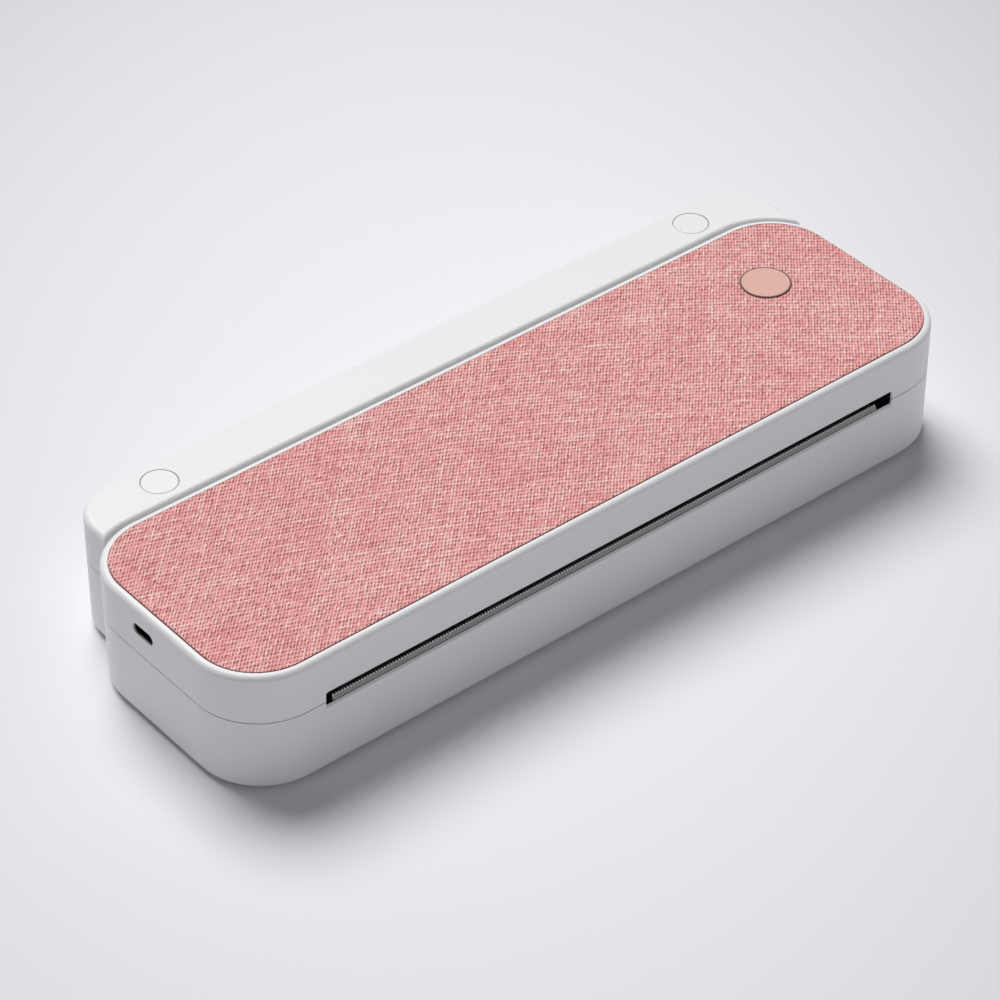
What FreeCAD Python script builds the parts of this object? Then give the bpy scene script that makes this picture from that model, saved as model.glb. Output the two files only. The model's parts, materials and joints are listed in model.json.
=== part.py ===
import FreeCAD, Part
import math
import os

V = FreeCAD.Vector

# Portable thermal printer for A4 paper. Sizes are in millimetres.
# Pieces are drawn about the middle of the body's plan, with z = 0 on the table, and each
# is moved back by BODY_BACK when it is written, so that the origin is under the middle
# of the whole object.

# Whole body
BODY_LENGTH = 270.0
BODY_DEPTH = 81.1
BODY_HEIGHT = 41.5
CORNER_R = 21.5
COVER_HEIGHT = 16.43
FOOT_STAND = 0.7
WALL = 2.0
FLOOR = 2.0
RIM_R = 1.7
BASE_EDGE_R = 2.3
INNER_EDGE_R = 1.0
PARTING_GAP = 0.3

# Clearances and fits
RUN_GAP = 0.3
FIT_GAP = 0.05
SEAT_GAP = 0.1
CUT = 1.0

# Fabric panel in the top
PANEL_INSET = 2.2
PANEL_RECESS = 1.5
PANEL_GAP = 0.25
TOP_WALL = 1.8
FABRIC = 0.6
FABRIC_DROP = 0.1
FABRIC_EDGE_R = 0.3
PATCH_R = 8.0
PATCH_THICK = 0.4
PATCH_EDGE_R = 0.15
PATCH_FROM_RIGHT = 32.3
PATCH_FROM_BACK = 29.0

# Front paper slot and rear paper inlet
SLOT_END_ROOM = 27.8
SLOT_TOP_DROP = 13.15
SLOT_CORNER_R = 0.9
LIP_DROP = 18.77
LIP_CHAMFER = 0.6
INLET_UP = 3.0
INLET_DOWN = 2.4

# Tear bar
BAR_LEFT_GAP = 3.0
BAR_RIGHT_GAP = 5.3
BAR_THICK = 0.5
BAR_LEAN = 0.94
BAR_SHELF = 5.0
BAR_SHELF_THICK = 2.0
TOOTH_PITCH = 1.0
TOOTH_HEIGHT = 0.55
BAR_SCREWS = 4

# Locating lip of the lower case and the latch tongues of the cover
LIP_THICK = 1.0
LIP_RISE = 1.6
LIP_ROOT = 3.0
LIP_BACK = 15.0
LIP_SLOT_GAP = 2.0
TONGUE_WIDTH = 8.0
TONGUE_THICK = 1.2
TONGUE_DEPTH = 4.0
TONGUE_NOSE = 0.7
TONGUE_FROM_CORNER = 3.35
TONGUE_SWEEP = 2.2

# Feet
FOOT_R = 5.0
FOOT_SINK = 0.5
FOOT_X_INSET = 22.0
FOOT_Y_INSET = 14.0
HOLDER_FOOT_R = 3.5

# Concealed track hinge of the cover
HINGE_BEHIND = 0.5
TRACK_R = 22.0
TRACK_BAND = 5.2
TRACK_PIN_R = 1.0
TRACK_SIDE = 2.3
TRACK_THICK = 2.0
TRACK_LEG = 7.0
TRACK_FOOT_THICK = 1.5
TRACK_FOOT_LENGTH = 12.0
TRACK_FOOT_REACH = 6.0
PIN_LOW_ANGLE = 74.0
PIN_HIGH_ANGLE = 66.0
COVER_OPEN_ANGLE = 50.0
TRACK_SPARE_ANGLE = 0.5
ARM_PLATE_THICK = 2.0
ARM_PLATE_WIDTH = 7.0
ARM_FLANGE = 5.0
ARM_FLANGE_LENGTH = 14.0
ARM_FLANGE_THICK = 1.5

# Platen and its bushes
PLATEN_FROM_FRONT = 12.85
PLATEN_R = 6.0
NIP_DROP = 15.5
PLATEN_SHAFT_R = 3.0
PLATEN_END_GAP = 2.5
BUSH_R = 4.5
BUSH_FLANGE_R = 5.5
BUSH_FLANGE = 0.8
BUSH_LENGTH = 3.0

# Steel frame that carries platen, gears and motor
FRAME_SIDE = 2.8
FRAME_THICK = 1.2
FRAME_FORE = 8.0
FRAME_AFT = 11.0
FRAME_MOTOR_AFT = 36.0
FRAME_TOP_DROP = 0.6
FRAME_EDGE_R = 2.0

# Gear train
GEAR_WIDTH = 3.2
GEAR_SIDE_GAP = 0.5
PLATEN_TEETH = 26
IDLER_SMALL_TEETH = 12
IDLER_LARGE_TEETH = 36
PINION_TEETH = 12
SLOW_MODULE = 0.6
FAST_MODULE = 0.5
GEAR_BACKLASH = 0.08
IDLER_RISE = 14.35
IDLER_PIN_R = 1.5
MOTOR_SHAFT_R = 0.75
TIP_SHARE = 0.9
ROOT_SHARE = 1.2
TOOTH_TIP_SHARE = 0.2
TOOTH_MID_SHARE = 0.43
TOOTH_ROOT_SHARE = 0.64

# Stepper motor
MOTOR_FLOOR_GAP = 1.0
MOTOR_TOP_GAP = 0.12
MOTOR_LENGTH = 15.0
MOTOR_BOSS_R = 3.0
MOTOR_EAR_REACH = 12.5
MOTOR_EAR_R = 2.6
MOTOR_EAR_THICK = 1.0

# Paper guides
GUIDE_SIDE = 2.2
GUIDE_THICK = 1.2
GUIDE_RIB = 0.5
GUIDE_RIB_WIDTH = 1.0
GUIDE_RIBS = 12
LOWER_GUIDE_DROP = 0.9
LOWER_GUIDE_FORE = 7.5
LOWER_GUIDE_REAR = 7.85
UPPER_GUIDE_RISE = 1.9
UPPER_GUIDE_FORE = 4.5
UPPER_GUIDE_REAR = 18.35
GUIDE_BOSS_SIDE = 6.0
GUIDE_BOSS_REAR = 3.0
BOSS_R = 3.0
UPPER_BOSS_REAR = 4.0

# Paper sensor under the lower guide
SENSOR_HALF = 2.5
SENSOR_WIDE_HALF = 7.5
SENSOR_FROM_PLATEN = 12.0
SENSOR_BASE = 1.2

# Print head, its bracket and springs
HEAD_SIDE = 0.2
HEAD_FORE = 5.0
HEAD_AFT = 6.0
HEAD_THICK = 1.0
SINK_FORE = 4.0
SINK_AFT = 15.0
SINK_THICK = 3.2
SINK_FINS = 5
SINK_FIN = 1.2
SINK_FIN_HEIGHT = 1.6
HEAD_PIVOT_AFT = 17.0
HEAD_PIVOT_RISE = 4.0
HEAD_PIVOT_R = 1.2
HEAD_EAR_R = 2.8
HEAD_EAR_THICK = 2.0
BRACKET_THICK = 1.2
BRACKET_SIDE = 0.8
BRACKET_FORE = 6.0
BRACKET_AFT = 20.5
BRACKET_EAR = 8.0
BRACKET_SCREW_REAR = 6.5
HEAD_SPRINGS = 5
HEAD_SPRING_R = 2.2
HEAD_SPRING_WIRE = 0.5
HEAD_SPRING_AFT = 1.0

# Electronics
BOARD_THICK = 1.6
BOARD_FRONT_GAP = 2.5
BOARD_BACK_GAP = 1.5
BOARD_LEFT_GAP = 2.5
BOARD_RIGHT_ROOM = 47.2
BOARD_BOSS_R = 2.6
BOARD_BOSS_INSET = 4.0
USB_OFF_MIDDLE = 1.3
USB_DROP = 7.6
USB_OPENING = 9.4
USB_OPENING_HEIGHT = 3.7
USB_SHELL = 8.94
USB_SHELL_HEIGHT = 3.26
USB_SHELL_WALL = 0.3
USB_SHELL_LENGTH = 7.3
USB_INSET = 0.5
USB_TONGUE = 6.7
USB_TONGUE_HEIGHT = 0.7
USB_TONGUE_INSET = 1.5
CHIP_HEIGHT = 1.2
CHIP_COLUMNS = 6
CHIP_START = 18.0
CHIP_END = 22.5
CHIP_SIZES = (9.0, 5.0, 7.0)

# Power button, its switch and light in the right end
BUTTON_R = 3.0
BUTTON_FLANGE_R = 3.8
BUTTON_FLANGE = 1.0
BUTTON_SEAT_GAP = 0.4
BUTTON_FLUSH = 0.1
BUTTON_CROWN_R = 0.5
BUTTON_TRAVEL = 0.4
SWITCH_SIZE = 6.0
SWITCH_HEIGHT = 2.2
SWITCH_PLUNGER_R = 1.7
SWITCH_PLUNGER = 0.8
SWITCH_SPARE = 0.2
SWITCH_BOARD = 1.2
SWITCH_BOARD_HALF = 9.0
LIGHT_FROM_BUTTON = 7.5
LIGHT_R = 0.9

# Battery
CELL_TOP_GAP = 0.72
CELL_SIDE_ROOM = 20.0
CELL_CAP_R = 3.0
CELL_CAP = 0.8
CELL_FROM_GUIDE_BACK = 19.0
CRADLE_WALL = 1.2
CRADLE_SEAT_SHARE = 0.8
CRADLE_DEPTH = 22.0

# Roll holder behind the body
HOLDER_GAP = 1.7
HOLDER_DEPTH = 18.35
HOLDER_LEFT_INSET = 11.2
HOLDER_RIGHT_INSET = 0.1
HOLDER_HORN = 30.4
HOLDER_CORNER_R = 15.0
HOLDER_DROP = 1.0
HOLDER_EDGE_R = 2.0
HOLDER_NOSE_R = 1.4
HOLDER_WALL = 2.0
SLIDE_INSET = 22.2
SLIDE_WIDTH = 8.0
SLIDE_HEIGHT = 5.0
SLIDE_RISE = 2.0
SLIDE_FRONT_GAP = 6.85
SLIDE_FOOT = 14.0
SLIDE_EDGE_R = 0.6
CHANNEL_WALL = 1.6
CHANNEL_LUG = 7.0
CHANNEL_LUG_LENGTH = 8.0

# Release buttons of the holder
RELEASE_LEFT_INSET = 27.2
RELEASE_RIGHT_INSET = 27.6
RELEASE_FROM_FRONT = 8.75
RELEASE_R = 5.55
RELEASE_GAP = 0.2
RELEASE_CAP_R = 0.35
RELEASE_FLANGE_R = 6.3
RELEASE_FLANGE = 1.2
RELEASE_STEM_R = 2.0
RELEASE_STEM_CLEAR = 12.8
RELEASE_TRAVEL = 1.5
RELEASE_SPRING_R = 4.0
RELEASE_SPRING_WIRE = 0.7
RELEASE_TOWER_R = 5.2
RELEASE_TOWER = 18.0

# Fasteners
SCREW_HEAD_R = 1.9
SCREW_HEAD = 1.0
SCREW_R = 1.0
SCREW_LENGTH = 4.5
SMALL_HEAD_R = 1.3
SMALL_HEAD = 0.6
SMALL_R = 0.7
SMALL_LENGTH = 1.8
DRIVE_HALF = 0.25
DRIVE_DEPTH_SHARE = 0.5
DRIVE_REACH_SHARE = 0.6
FRAME_SCREW_SHARES = (0.35, 0.9)
BRACKET_SCREW_SHARES = (-0.88, -0.3, 0.3, 0.88)
HOLDER_SCREW_SHARES = (-0.45, 0.0, 0.45)

# Levels and edges worked out from the sizes above
HALF_LENGTH = BODY_LENGTH / 2
HALF_DEPTH = BODY_DEPTH / 2
HOLDER_FRONT = HALF_DEPTH + HOLDER_GAP
HOLDER_BACK = HOLDER_FRONT + HOLDER_DEPTH
BODY_BACK = (HALF_DEPTH - HOLDER_BACK) / 2
CASE_BOTTOM = FOOT_STAND
FLOOR_TOP = CASE_BOTTOM + FLOOR
PARTING = BODY_HEIGHT - COVER_HEIGHT
BASE_RIM = PARTING - PARTING_GAP / 2
COVER_RIM = PARTING + PARTING_GAP / 2
RECESS_FLOOR = BODY_HEIGHT - PANEL_RECESS
CEILING = RECESS_FLOOR - TOP_WALL
SLOT_HALF = HALF_LENGTH - SLOT_END_ROOM
SLOT_TOP = BODY_HEIGHT - SLOT_TOP_DROP
LIP_LOW = BODY_HEIGHT - LIP_DROP
LIP_HIGH = LIP_LOW + LIP_CHAMFER
BAR_SEAT = LIP_HIGH - BAR_THICK
BAR_LEFT = BAR_LEFT_GAP - SLOT_HALF
BAR_RIGHT = SLOT_HALF - BAR_RIGHT_GAP
NIP = BODY_HEIGHT - NIP_DROP
PLATEN_Z = NIP - PLATEN_R
PLATEN_Y = PLATEN_FROM_FRONT - HALF_DEPTH
TONGUE_FRONT = CORNER_R - HALF_DEPTH + TONGUE_FROM_CORNER
HINGE_Y = HALF_DEPTH + HINGE_BEHIND
HINGE_Z = BODY_HEIGHT
INNER_BACK = HALF_DEPTH - WALL - INNER_EDGE_R
FRAME_HALF = SLOT_HALF + FRAME_SIDE
FRAME_OUT = FRAME_HALF + FRAME_THICK
FRAME_FRONT = PLATEN_Y - FRAME_FORE
FRAME_BACK = PLATEN_Y + FRAME_AFT
FRAME_MOTOR_BACK = PLATEN_Y + FRAME_MOTOR_AFT
TRACK_X = SLOT_HALF + TRACK_SIDE
FRAME_TOP = BASE_RIM - FRAME_TOP_DROP
SLOW_DISTANCE = (PLATEN_TEETH + IDLER_SMALL_TEETH) * SLOW_MODULE / 2
FAST_DISTANCE = (IDLER_LARGE_TEETH + PINION_TEETH) * FAST_MODULE / 2
IDLER_Z = FLOOR_TOP + IDLER_RISE
IDLER_Y = PLATEN_Y + math.sqrt(SLOW_DISTANCE ** 2 - (PLATEN_Z - IDLER_Z) ** 2)
LOWER_GUIDE_TOP = BASE_RIM - LOWER_GUIDE_DROP
LOWER_GUIDE_UNDER = LOWER_GUIDE_TOP - GUIDE_THICK
MOTOR_R = (LOWER_GUIDE_UNDER - MOTOR_TOP_GAP - FLOOR_TOP - MOTOR_FLOOR_GAP) / 2
MOTOR_Z = FLOOR_TOP + MOTOR_FLOOR_GAP + MOTOR_R
MOTOR_Y = IDLER_Y + math.sqrt(FAST_DISTANCE ** 2 - (IDLER_Z - MOTOR_Z) ** 2)
SLOW_X = FRAME_OUT + BUSH_FLANGE + GEAR_SIDE_GAP
FAST_X = SLOW_X + GEAR_WIDTH + GEAR_SIDE_GAP
HEAD_HALF = SLOT_HALF - HEAD_SIDE
HEAD_FRONT = PLATEN_Y - HEAD_FORE
HEAD_BACK = PLATEN_Y + HEAD_AFT
HEAD_SPRING_Y = PLATEN_Y + HEAD_SPRING_AFT
HEAD_PIVOT_Y = PLATEN_Y + HEAD_PIVOT_AFT
SINK_FRONT = PLATEN_Y - SINK_FORE
SINK_BACK = PLATEN_Y + SINK_AFT
HEAD_UNDER = NIP + RUN_GAP
SINK_UNDER = HEAD_UNDER + HEAD_THICK
SINK_TOP = SINK_UNDER + SINK_THICK
HEAD_PIVOT_Z = HEAD_UNDER + HEAD_PIVOT_RISE
BRACKET_UNDER = CEILING - BRACKET_THICK
BRACKET_HALF = FRAME_HALF - BRACKET_SIDE
BRACKET_FRONT = PLATEN_Y - BRACKET_FORE
BRACKET_BACK = PLATEN_Y + BRACKET_AFT
BRACKET_SCREW_Y = BRACKET_BACK - BRACKET_SCREW_REAR
GUIDE_HALF = SLOT_HALF - GUIDE_SIDE
GUIDE_BOSS_X = GUIDE_HALF - GUIDE_BOSS_SIDE
LOWER_GUIDE_FRONT = PLATEN_Y + LOWER_GUIDE_FORE
LOWER_GUIDE_BACK = HALF_DEPTH - LOWER_GUIDE_REAR
GUIDE_BOSS_Y = LOWER_GUIDE_BACK - GUIDE_BOSS_REAR
UPPER_GUIDE_FRONT = HEAD_PIVOT_Y + UPPER_GUIDE_FORE
UPPER_GUIDE_BACK = HALF_DEPTH - UPPER_GUIDE_REAR
UPPER_BOSS_Y = UPPER_GUIDE_BACK - UPPER_BOSS_REAR
SENSOR_Y = PLATEN_Y + SENSOR_FROM_PLATEN
USB_Z = BODY_HEIGHT - USB_DROP
BOARD_TOP = USB_Z - USB_SHELL_HEIGHT / 2
BOARD_UNDER = BOARD_TOP - BOARD_THICK
BOARD_LEFT = WALL + BOARD_LEFT_GAP - HALF_LENGTH
BOARD_RIGHT = SLOT_HALF - BOARD_RIGHT_ROOM
BOARD_FRONT = BRACKET_BACK + BOARD_FRONT_GAP
BOARD_BACK = UPPER_BOSS_Y - BOSS_R - BOARD_BACK_GAP
BOARD_MIDDLE = (BOARD_FRONT + BOARD_BACK) / 2
USB_Y = BOARD_MIDDLE + USB_OFF_MIDDLE
CHIP_STEP = (BOARD_RIGHT - BOARD_LEFT - CHIP_START - CHIP_END) / CHIP_COLUMNS
BUTTON_Y = USB_Y
LIGHT_Y = BUTTON_Y + LIGHT_FROM_BUTTON
UPPER_GUIDE_UNDER = COVER_RIM + UPPER_GUIDE_RISE
UPPER_GUIDE_TOP = UPPER_GUIDE_UNDER + GUIDE_THICK
HOLDER_TOP = BODY_HEIGHT - HOLDER_DROP
HOLDER_LEFT = HOLDER_LEFT_INSET - HALF_LENGTH
HOLDER_RIGHT = HALF_LENGTH - HOLDER_RIGHT_INSET
RELEASE_LEFT_X = HOLDER_LEFT + RELEASE_LEFT_INSET
RELEASE_RIGHT_X = HOLDER_RIGHT - RELEASE_RIGHT_INSET
SLIDE_X = SLOT_HALF - SLIDE_INSET
SLIDE_LOW = FLOOR_TOP + SLIDE_RISE
SLIDE_HIGH = SLIDE_LOW + SLIDE_HEIGHT
SLIDE_FRONT = FRAME_BACK + SLIDE_FRONT_GAP
RELEASE_Y = HOLDER_FRONT + RELEASE_FROM_FRONT
RELEASE_FLANGE_TOP = HOLDER_TOP - HOLDER_WALL - RUN_GAP
RELEASE_FLANGE_LOW = RELEASE_FLANGE_TOP - RELEASE_FLANGE
TOWER_TOP = FLOOR_TOP + RELEASE_TOWER
SWITCH_X = HALF_LENGTH - WALL - BUTTON_SEAT_GAP - BUTTON_FLANGE
SWITCH_PLUNGER_GAP = BUTTON_TRAVEL + SWITCH_SPARE
CELL_R = (LOWER_GUIDE_UNDER - CELL_TOP_GAP - FLOOR_TOP - CRADLE_WALL) / 2
CELL_LENGTH = SLIDE_X - CELL_SIDE_ROOM
CELL_Y = LOWER_GUIDE_BACK - CELL_FROM_GUIDE_BACK
CELL_Z = FLOOR_TOP + CRADLE_WALL + CELL_R


def box(x0, x1, y0, y1, z0, z1):
    """Block between two opposite corners."""
    return Part.makeBox(x1 - x0, y1 - y0, z1 - z0, V(x0, y0, z0))


def rod(radius, x0, x1, y, z):
    """Round bar along X."""
    return Part.makeCylinder(radius, x1 - x0, V(x0, y, z), V(1, 0, 0))


def post(radius, x, y, z0, z1):
    """Round bar along Z."""
    return Part.makeCylinder(radius, z1 - z0, V(x, y, z0), V(0, 0, 1))


def join(shapes):
    """One solid from pieces that touch."""
    whole = shapes[0]
    for shape in shapes[1:]:
        whole = whole.fuse(shape)
    return whole.removeSplitter()


def rounded_wire(a0, a1, b0, b1, radius, place):
    """Rectangle with round corners; place turns two plane values into a point."""
    bend = radius * (1 - math.sqrt(0.5))
    corners = (
        ((a1 - radius, b0), (a1 - bend, b0 + bend), (a1, b0 + radius)),
        ((a1, b1 - radius), (a1 - bend, b1 - bend), (a1 - radius, b1)),
        ((a0 + radius, b1), (a0 + bend, b1 - bend), (a0, b1 - radius)),
        ((a0, b0 + radius), (a0 + bend, b0 + bend), (a0 + radius, b0)),
    )
    edges = []
    last = place(*corners[-1][2])
    for start, middle, end in corners:
        first = place(*start)
        if first.distanceToPoint(last) > radius / 1000:
            edges.append(Part.makeLine(last, first))
        edges.append(Part.Arc(first, place(*middle), place(*end)).toShape())
        last = place(*end)
    return Part.Wire(edges)


def rounded_block(x0, x1, y0, y1, z0, z1, radius):
    """Upright block whose plan has round corners."""
    wire = rounded_wire(x0, x1, y0, y1, radius, lambda a, b: V(a, b, z0))
    return Part.Face(wire).extrude(V(0, 0, z1 - z0))


def rounded_through_x(y0, y1, z0, z1, x0, x1, radius):
    """Bar along X whose section has round corners."""
    wire = rounded_wire(y0, y1, z0, z1, radius, lambda a, b: V(x0, a, b))
    return Part.Face(wire).extrude(V(x1 - x0, 0, 0))


def rounded_through_y(x0, x1, z0, z1, y0, y1, radius):
    """Bar along Y whose section has round corners."""
    wire = rounded_wire(x0, x1, z0, z1, radius, lambda a, b: V(a, y0, b))
    return Part.Face(wire).extrude(V(0, y1 - y0, 0))


def prism_x(points, x0, x1):
    """Bar along X with a section given as (y, z) points."""
    corners = [V(x0, y, z) for y, z in points]
    wire = Part.makePolygon(corners + corners[:1])
    return Part.Face(wire).extrude(V(x1 - x0, 0, 0))


def round_level(shape, level, radius):
    """Round all edges that lie at one height."""
    reach = radius / 1000
    edges = [
        edge for edge in shape.Edges
        if all(abs(vertex.Z - level) < reach for vertex in edge.Vertexes)
        and abs(edge.BoundBox.ZMax - edge.BoundBox.ZMin) < reach
    ]
    return shape.makeFillet(radius, edges)


def body_block(inset, z0, z1):
    """The body's plan, drawn in by an inset, between two heights."""
    return rounded_block(inset - HALF_LENGTH, HALF_LENGTH - inset, inset - HALF_DEPTH,
                         HALF_DEPTH - inset, z0, z1, CORNER_R - inset)


def screw(x, y, seat, down=True, head_r=SCREW_HEAD_R, head=SCREW_HEAD, radius=SCREW_R,
          length=SCREW_LENGTH):
    """Cross-slotted screw whose head sits on a face at height seat."""
    head_end = seat + head if down else seat - head
    tip = seat - length if down else seat + length
    body = post(head_r, x, y, min(seat, head_end), max(seat, head_end))
    shank = post(radius, x, y, min(seat, tip), max(seat, tip))
    depth = head * DRIVE_DEPTH_SHARE
    reach = head_r * DRIVE_REACH_SHARE
    slot_low = head_end - depth if down else head_end - CUT
    slot_high = head_end + CUT if down else head_end + depth
    first = box(x - reach, x + reach, y - DRIVE_HALF, y + DRIVE_HALF, slot_low, slot_high)
    second = box(x - DRIVE_HALF, x + DRIVE_HALF, y - reach, y + reach, slot_low, slot_high)
    return join([body, shank]).cut(first).cut(second)


def small_screw(x, y, seat, down=True):
    """Small screw for boards and the tear bar."""
    return screw(x, y, seat, down, SMALL_HEAD_R, SMALL_HEAD, SMALL_R, SMALL_LENGTH)


def drill(shape, x, y, z0, z1, radius):
    """Upright hole."""
    return shape.cut(post(radius, x, y, z0, z1))


def coil(x, y, z0, z1, radius, wire):
    """Space of a coil spring: a sleeve as wide as its turns and as thick as its wire."""
    return post(radius, x, y, z0, z1).cut(post(radius - wire, x, y, z0 - CUT, z1 + CUT))


def sides():
    """Left and right."""
    return (-1, 1)


def span(side, near, far):
    """Ordered pair of X values, mirrored for the left side."""
    return tuple(sorted((side * near, side * far)))


def foot_places():
    """Centres of the four feet under the body."""
    x = HALF_LENGTH - FOOT_X_INSET
    y = HALF_DEPTH - FOOT_Y_INSET
    return [(sx * x, sy * y) for sx in sides() for sy in sides()]


def holder_foot_places():
    """Centres of the two feet under the roll holder."""
    y = HOLDER_FRONT + HOLDER_DEPTH / 2
    return [(sx * (SLIDE_X + SLIDE_FOOT), y) for sx in sides()]


def frame_screw_places():
    """Screws that hold the frame to the floor."""
    y = (FRAME_FRONT + FRAME_BACK) / 2
    return [(sx * share * FRAME_HALF, y) for sx in sides() for share in FRAME_SCREW_SHARES]


def bar_screw_places():
    """Screws along the tear bar."""
    y = BAR_SHELF - HALF_DEPTH - SMALL_HEAD_R - SEAT_GAP
    step = (BAR_RIGHT - BAR_LEFT) / BAR_SCREWS
    return [(BAR_LEFT + (index + 0.5) * step, y) for index in range(BAR_SCREWS)]


def channel_screw_places():
    """Screws of the two slide channels, one each side of both ends."""
    reach = SLIDE_WIDTH / 2 + RUN_GAP + CHANNEL_WALL + CHANNEL_LUG / 2
    front = SLIDE_FRONT + CHANNEL_LUG_LENGTH / 2
    back = INNER_BACK - CHANNEL_LUG_LENGTH
    return [(sx * (SLIDE_X - reach), y) for sx in sides() for y in (front, back)]


def track_screw_places():
    """Screws of the two hinge tracks."""
    x = TRACK_X - TRACK_FOOT_REACH / 2
    y = INNER_BACK - TRACK_FOOT_LENGTH / 2
    return [(sx * x, y) for sx in sides()]


def cradle_screw_places():
    """Screws of the battery cradle."""
    x = CELL_LENGTH + CRADLE_WALL * 2 + BOSS_R
    return [(sx * x, CELL_Y) for sx in sides()]


def bracket_screw_places():
    """Screws of the head bracket, up into the cover."""
    return [(share * BRACKET_HALF, BRACKET_SCREW_Y) for share in BRACKET_SCREW_SHARES]


def arm_screw_places():
    """Screws of the two hinge arms, up into the cover."""
    x = TRACK_X + TRACK_THICK + RUN_GAP + ARM_PLATE_THICK + ARM_FLANGE / 2
    y = HALF_DEPTH - WALL - ARM_FLANGE_LENGTH / 2 - ARM_FLANGE_THICK
    return [(sx * x, y) for sx in sides()]


def board_screw_places():
    """Screws of the main board, up into the cover's posts."""
    y_front = BOARD_FRONT + BOARD_BOSS_INSET
    y_back = BOARD_BACK - BOARD_BOSS_INSET
    x_left = BOARD_LEFT + BOARD_BOSS_INSET + USB_SHELL_LENGTH
    x_right = BOARD_RIGHT - BOARD_BOSS_INSET
    return [(x_left, y_front - SCREW_R), (x_left, y_back + SCREW_R),
            (x_right, y_front), (x_right, y_back)]


def upper_guide_places():
    """Posts and screws of the upper paper guide."""
    return [(sx * GUIDE_BOSS_X, UPPER_BOSS_Y) for sx in sides()]


def holder_screw_places():
    """Screws that close the roll holder from below."""
    y = HOLDER_FRONT + HOLDER_DEPTH / 2
    return [(share * HOLDER_RIGHT, y) for share in HOLDER_SCREW_SHARES]


def upper_case():
    """Cover shell with panel recess, slot, ports, posts and latch tongues."""
    shell = round_level(body_block(0, COVER_RIM, BODY_HEIGHT), BODY_HEIGHT, RIM_R)
    cavity = round_level(body_block(WALL, COVER_RIM - CUT, CEILING), CEILING, INNER_EDGE_R)
    shell = shell.cut(cavity)
    shell = shell.cut(body_block(PANEL_INSET, RECESS_FLOOR, BODY_HEIGHT + CUT))
    slot = rounded_through_y(-SLOT_HALF, SLOT_HALF, COVER_RIM - WALL, SLOT_TOP,
                             -HALF_DEPTH - CUT, WALL + CUT - HALF_DEPTH, SLOT_CORNER_R)
    inlet = box(-SLOT_HALF, SLOT_HALF, HALF_DEPTH - WALL - CUT, HALF_DEPTH + CUT,
                COVER_RIM - CUT, PARTING + INLET_UP)
    usb = rounded_through_x(USB_Y - USB_OPENING / 2, USB_Y + USB_OPENING / 2,
                            USB_Z - USB_OPENING_HEIGHT / 2, USB_Z + USB_OPENING_HEIGHT / 2,
                            -HALF_LENGTH - CUT, WALL + CUT - HALF_LENGTH,
                            USB_OPENING_HEIGHT / 2)
    button = rod(BUTTON_R + RUN_GAP, HALF_LENGTH - WALL - CUT, HALF_LENGTH + CUT, BUTTON_Y, USB_Z)
    light = rod(LIGHT_R + SEAT_GAP, HALF_LENGTH - WALL - CUT, HALF_LENGTH + CUT, LIGHT_Y, USB_Z)
    for hole in (slot, inlet, usb, button, light):
        shell = shell.cut(hole)
    posts = []
    for x, y in board_screw_places():
        posts.append(post(BOARD_BOSS_R, x, y, BOARD_TOP, CEILING + SEAT_GAP))
    for x, y in upper_guide_places():
        posts.append(post(BOSS_R, x, y, UPPER_GUIDE_TOP, CEILING + SEAT_GAP))
    for side in sides():
        x0, x1 = span(side, HALF_LENGTH - WALL - RUN_GAP - LIP_THICK - RUN_GAP - TONGUE_THICK,
                      HALF_LENGTH - WALL - RUN_GAP - LIP_THICK - RUN_GAP)
        back = TONGUE_FRONT + TONGUE_WIDTH
        posts.append(box(x0, x1, TONGUE_FRONT, back, PARTING - TONGUE_DEPTH, CEILING + SEAT_GAP))
        n0, n1 = span(side, HALF_LENGTH - WALL - RUN_GAP - LIP_THICK - RUN_GAP - TONGUE_THICK,
                      HALF_LENGTH - WALL - RUN_GAP - LIP_THICK - RUN_GAP + TONGUE_NOSE)
        posts.append(box(n0, n1, TONGUE_FRONT, back, PARTING - TONGUE_DEPTH,
                         PARTING - TONGUE_DEPTH + TONGUE_NOSE))
    shell = join([shell] + posts)
    for x, y in board_screw_places():
        shell = drill(shell, x, y, BOARD_TOP - CUT, BOARD_TOP + SCREW_LENGTH, SMALL_R + SEAT_GAP)
    for x, y in upper_guide_places():
        shell = drill(shell, x, y, UPPER_GUIDE_TOP - CUT, UPPER_GUIDE_TOP + SCREW_LENGTH,
                      SCREW_R + SEAT_GAP)
    for x, y in bracket_screw_places() + arm_screw_places():
        shell = drill(shell, x, y, CEILING - CUT, CEILING + TOP_WALL - RUN_GAP, SMALL_R + SEAT_GAP)
    return shell


def top_panel():
    """Stiff board under the fabric."""
    inset = PANEL_INSET + PANEL_GAP
    return body_block(inset, RECESS_FLOOR, BODY_HEIGHT - FABRIC_DROP - FABRIC)


def fabric_cover():
    """Woven cover over the board."""
    inset = PANEL_INSET + PANEL_GAP
    top = BODY_HEIGHT - FABRIC_DROP
    return round_level(body_block(inset, top - FABRIC, top), top, FABRIC_EDGE_R)


def round_patch():
    """Plain round patch on the fabric."""
    x = HALF_LENGTH - PATCH_FROM_RIGHT
    y = HALF_DEPTH - PATCH_FROM_BACK
    low = BODY_HEIGHT - FABRIC_DROP
    disc = post(PATCH_R, x, y, low, low + PATCH_THICK)
    return round_level(disc, low + PATCH_THICK, PATCH_EDGE_R)


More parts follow.
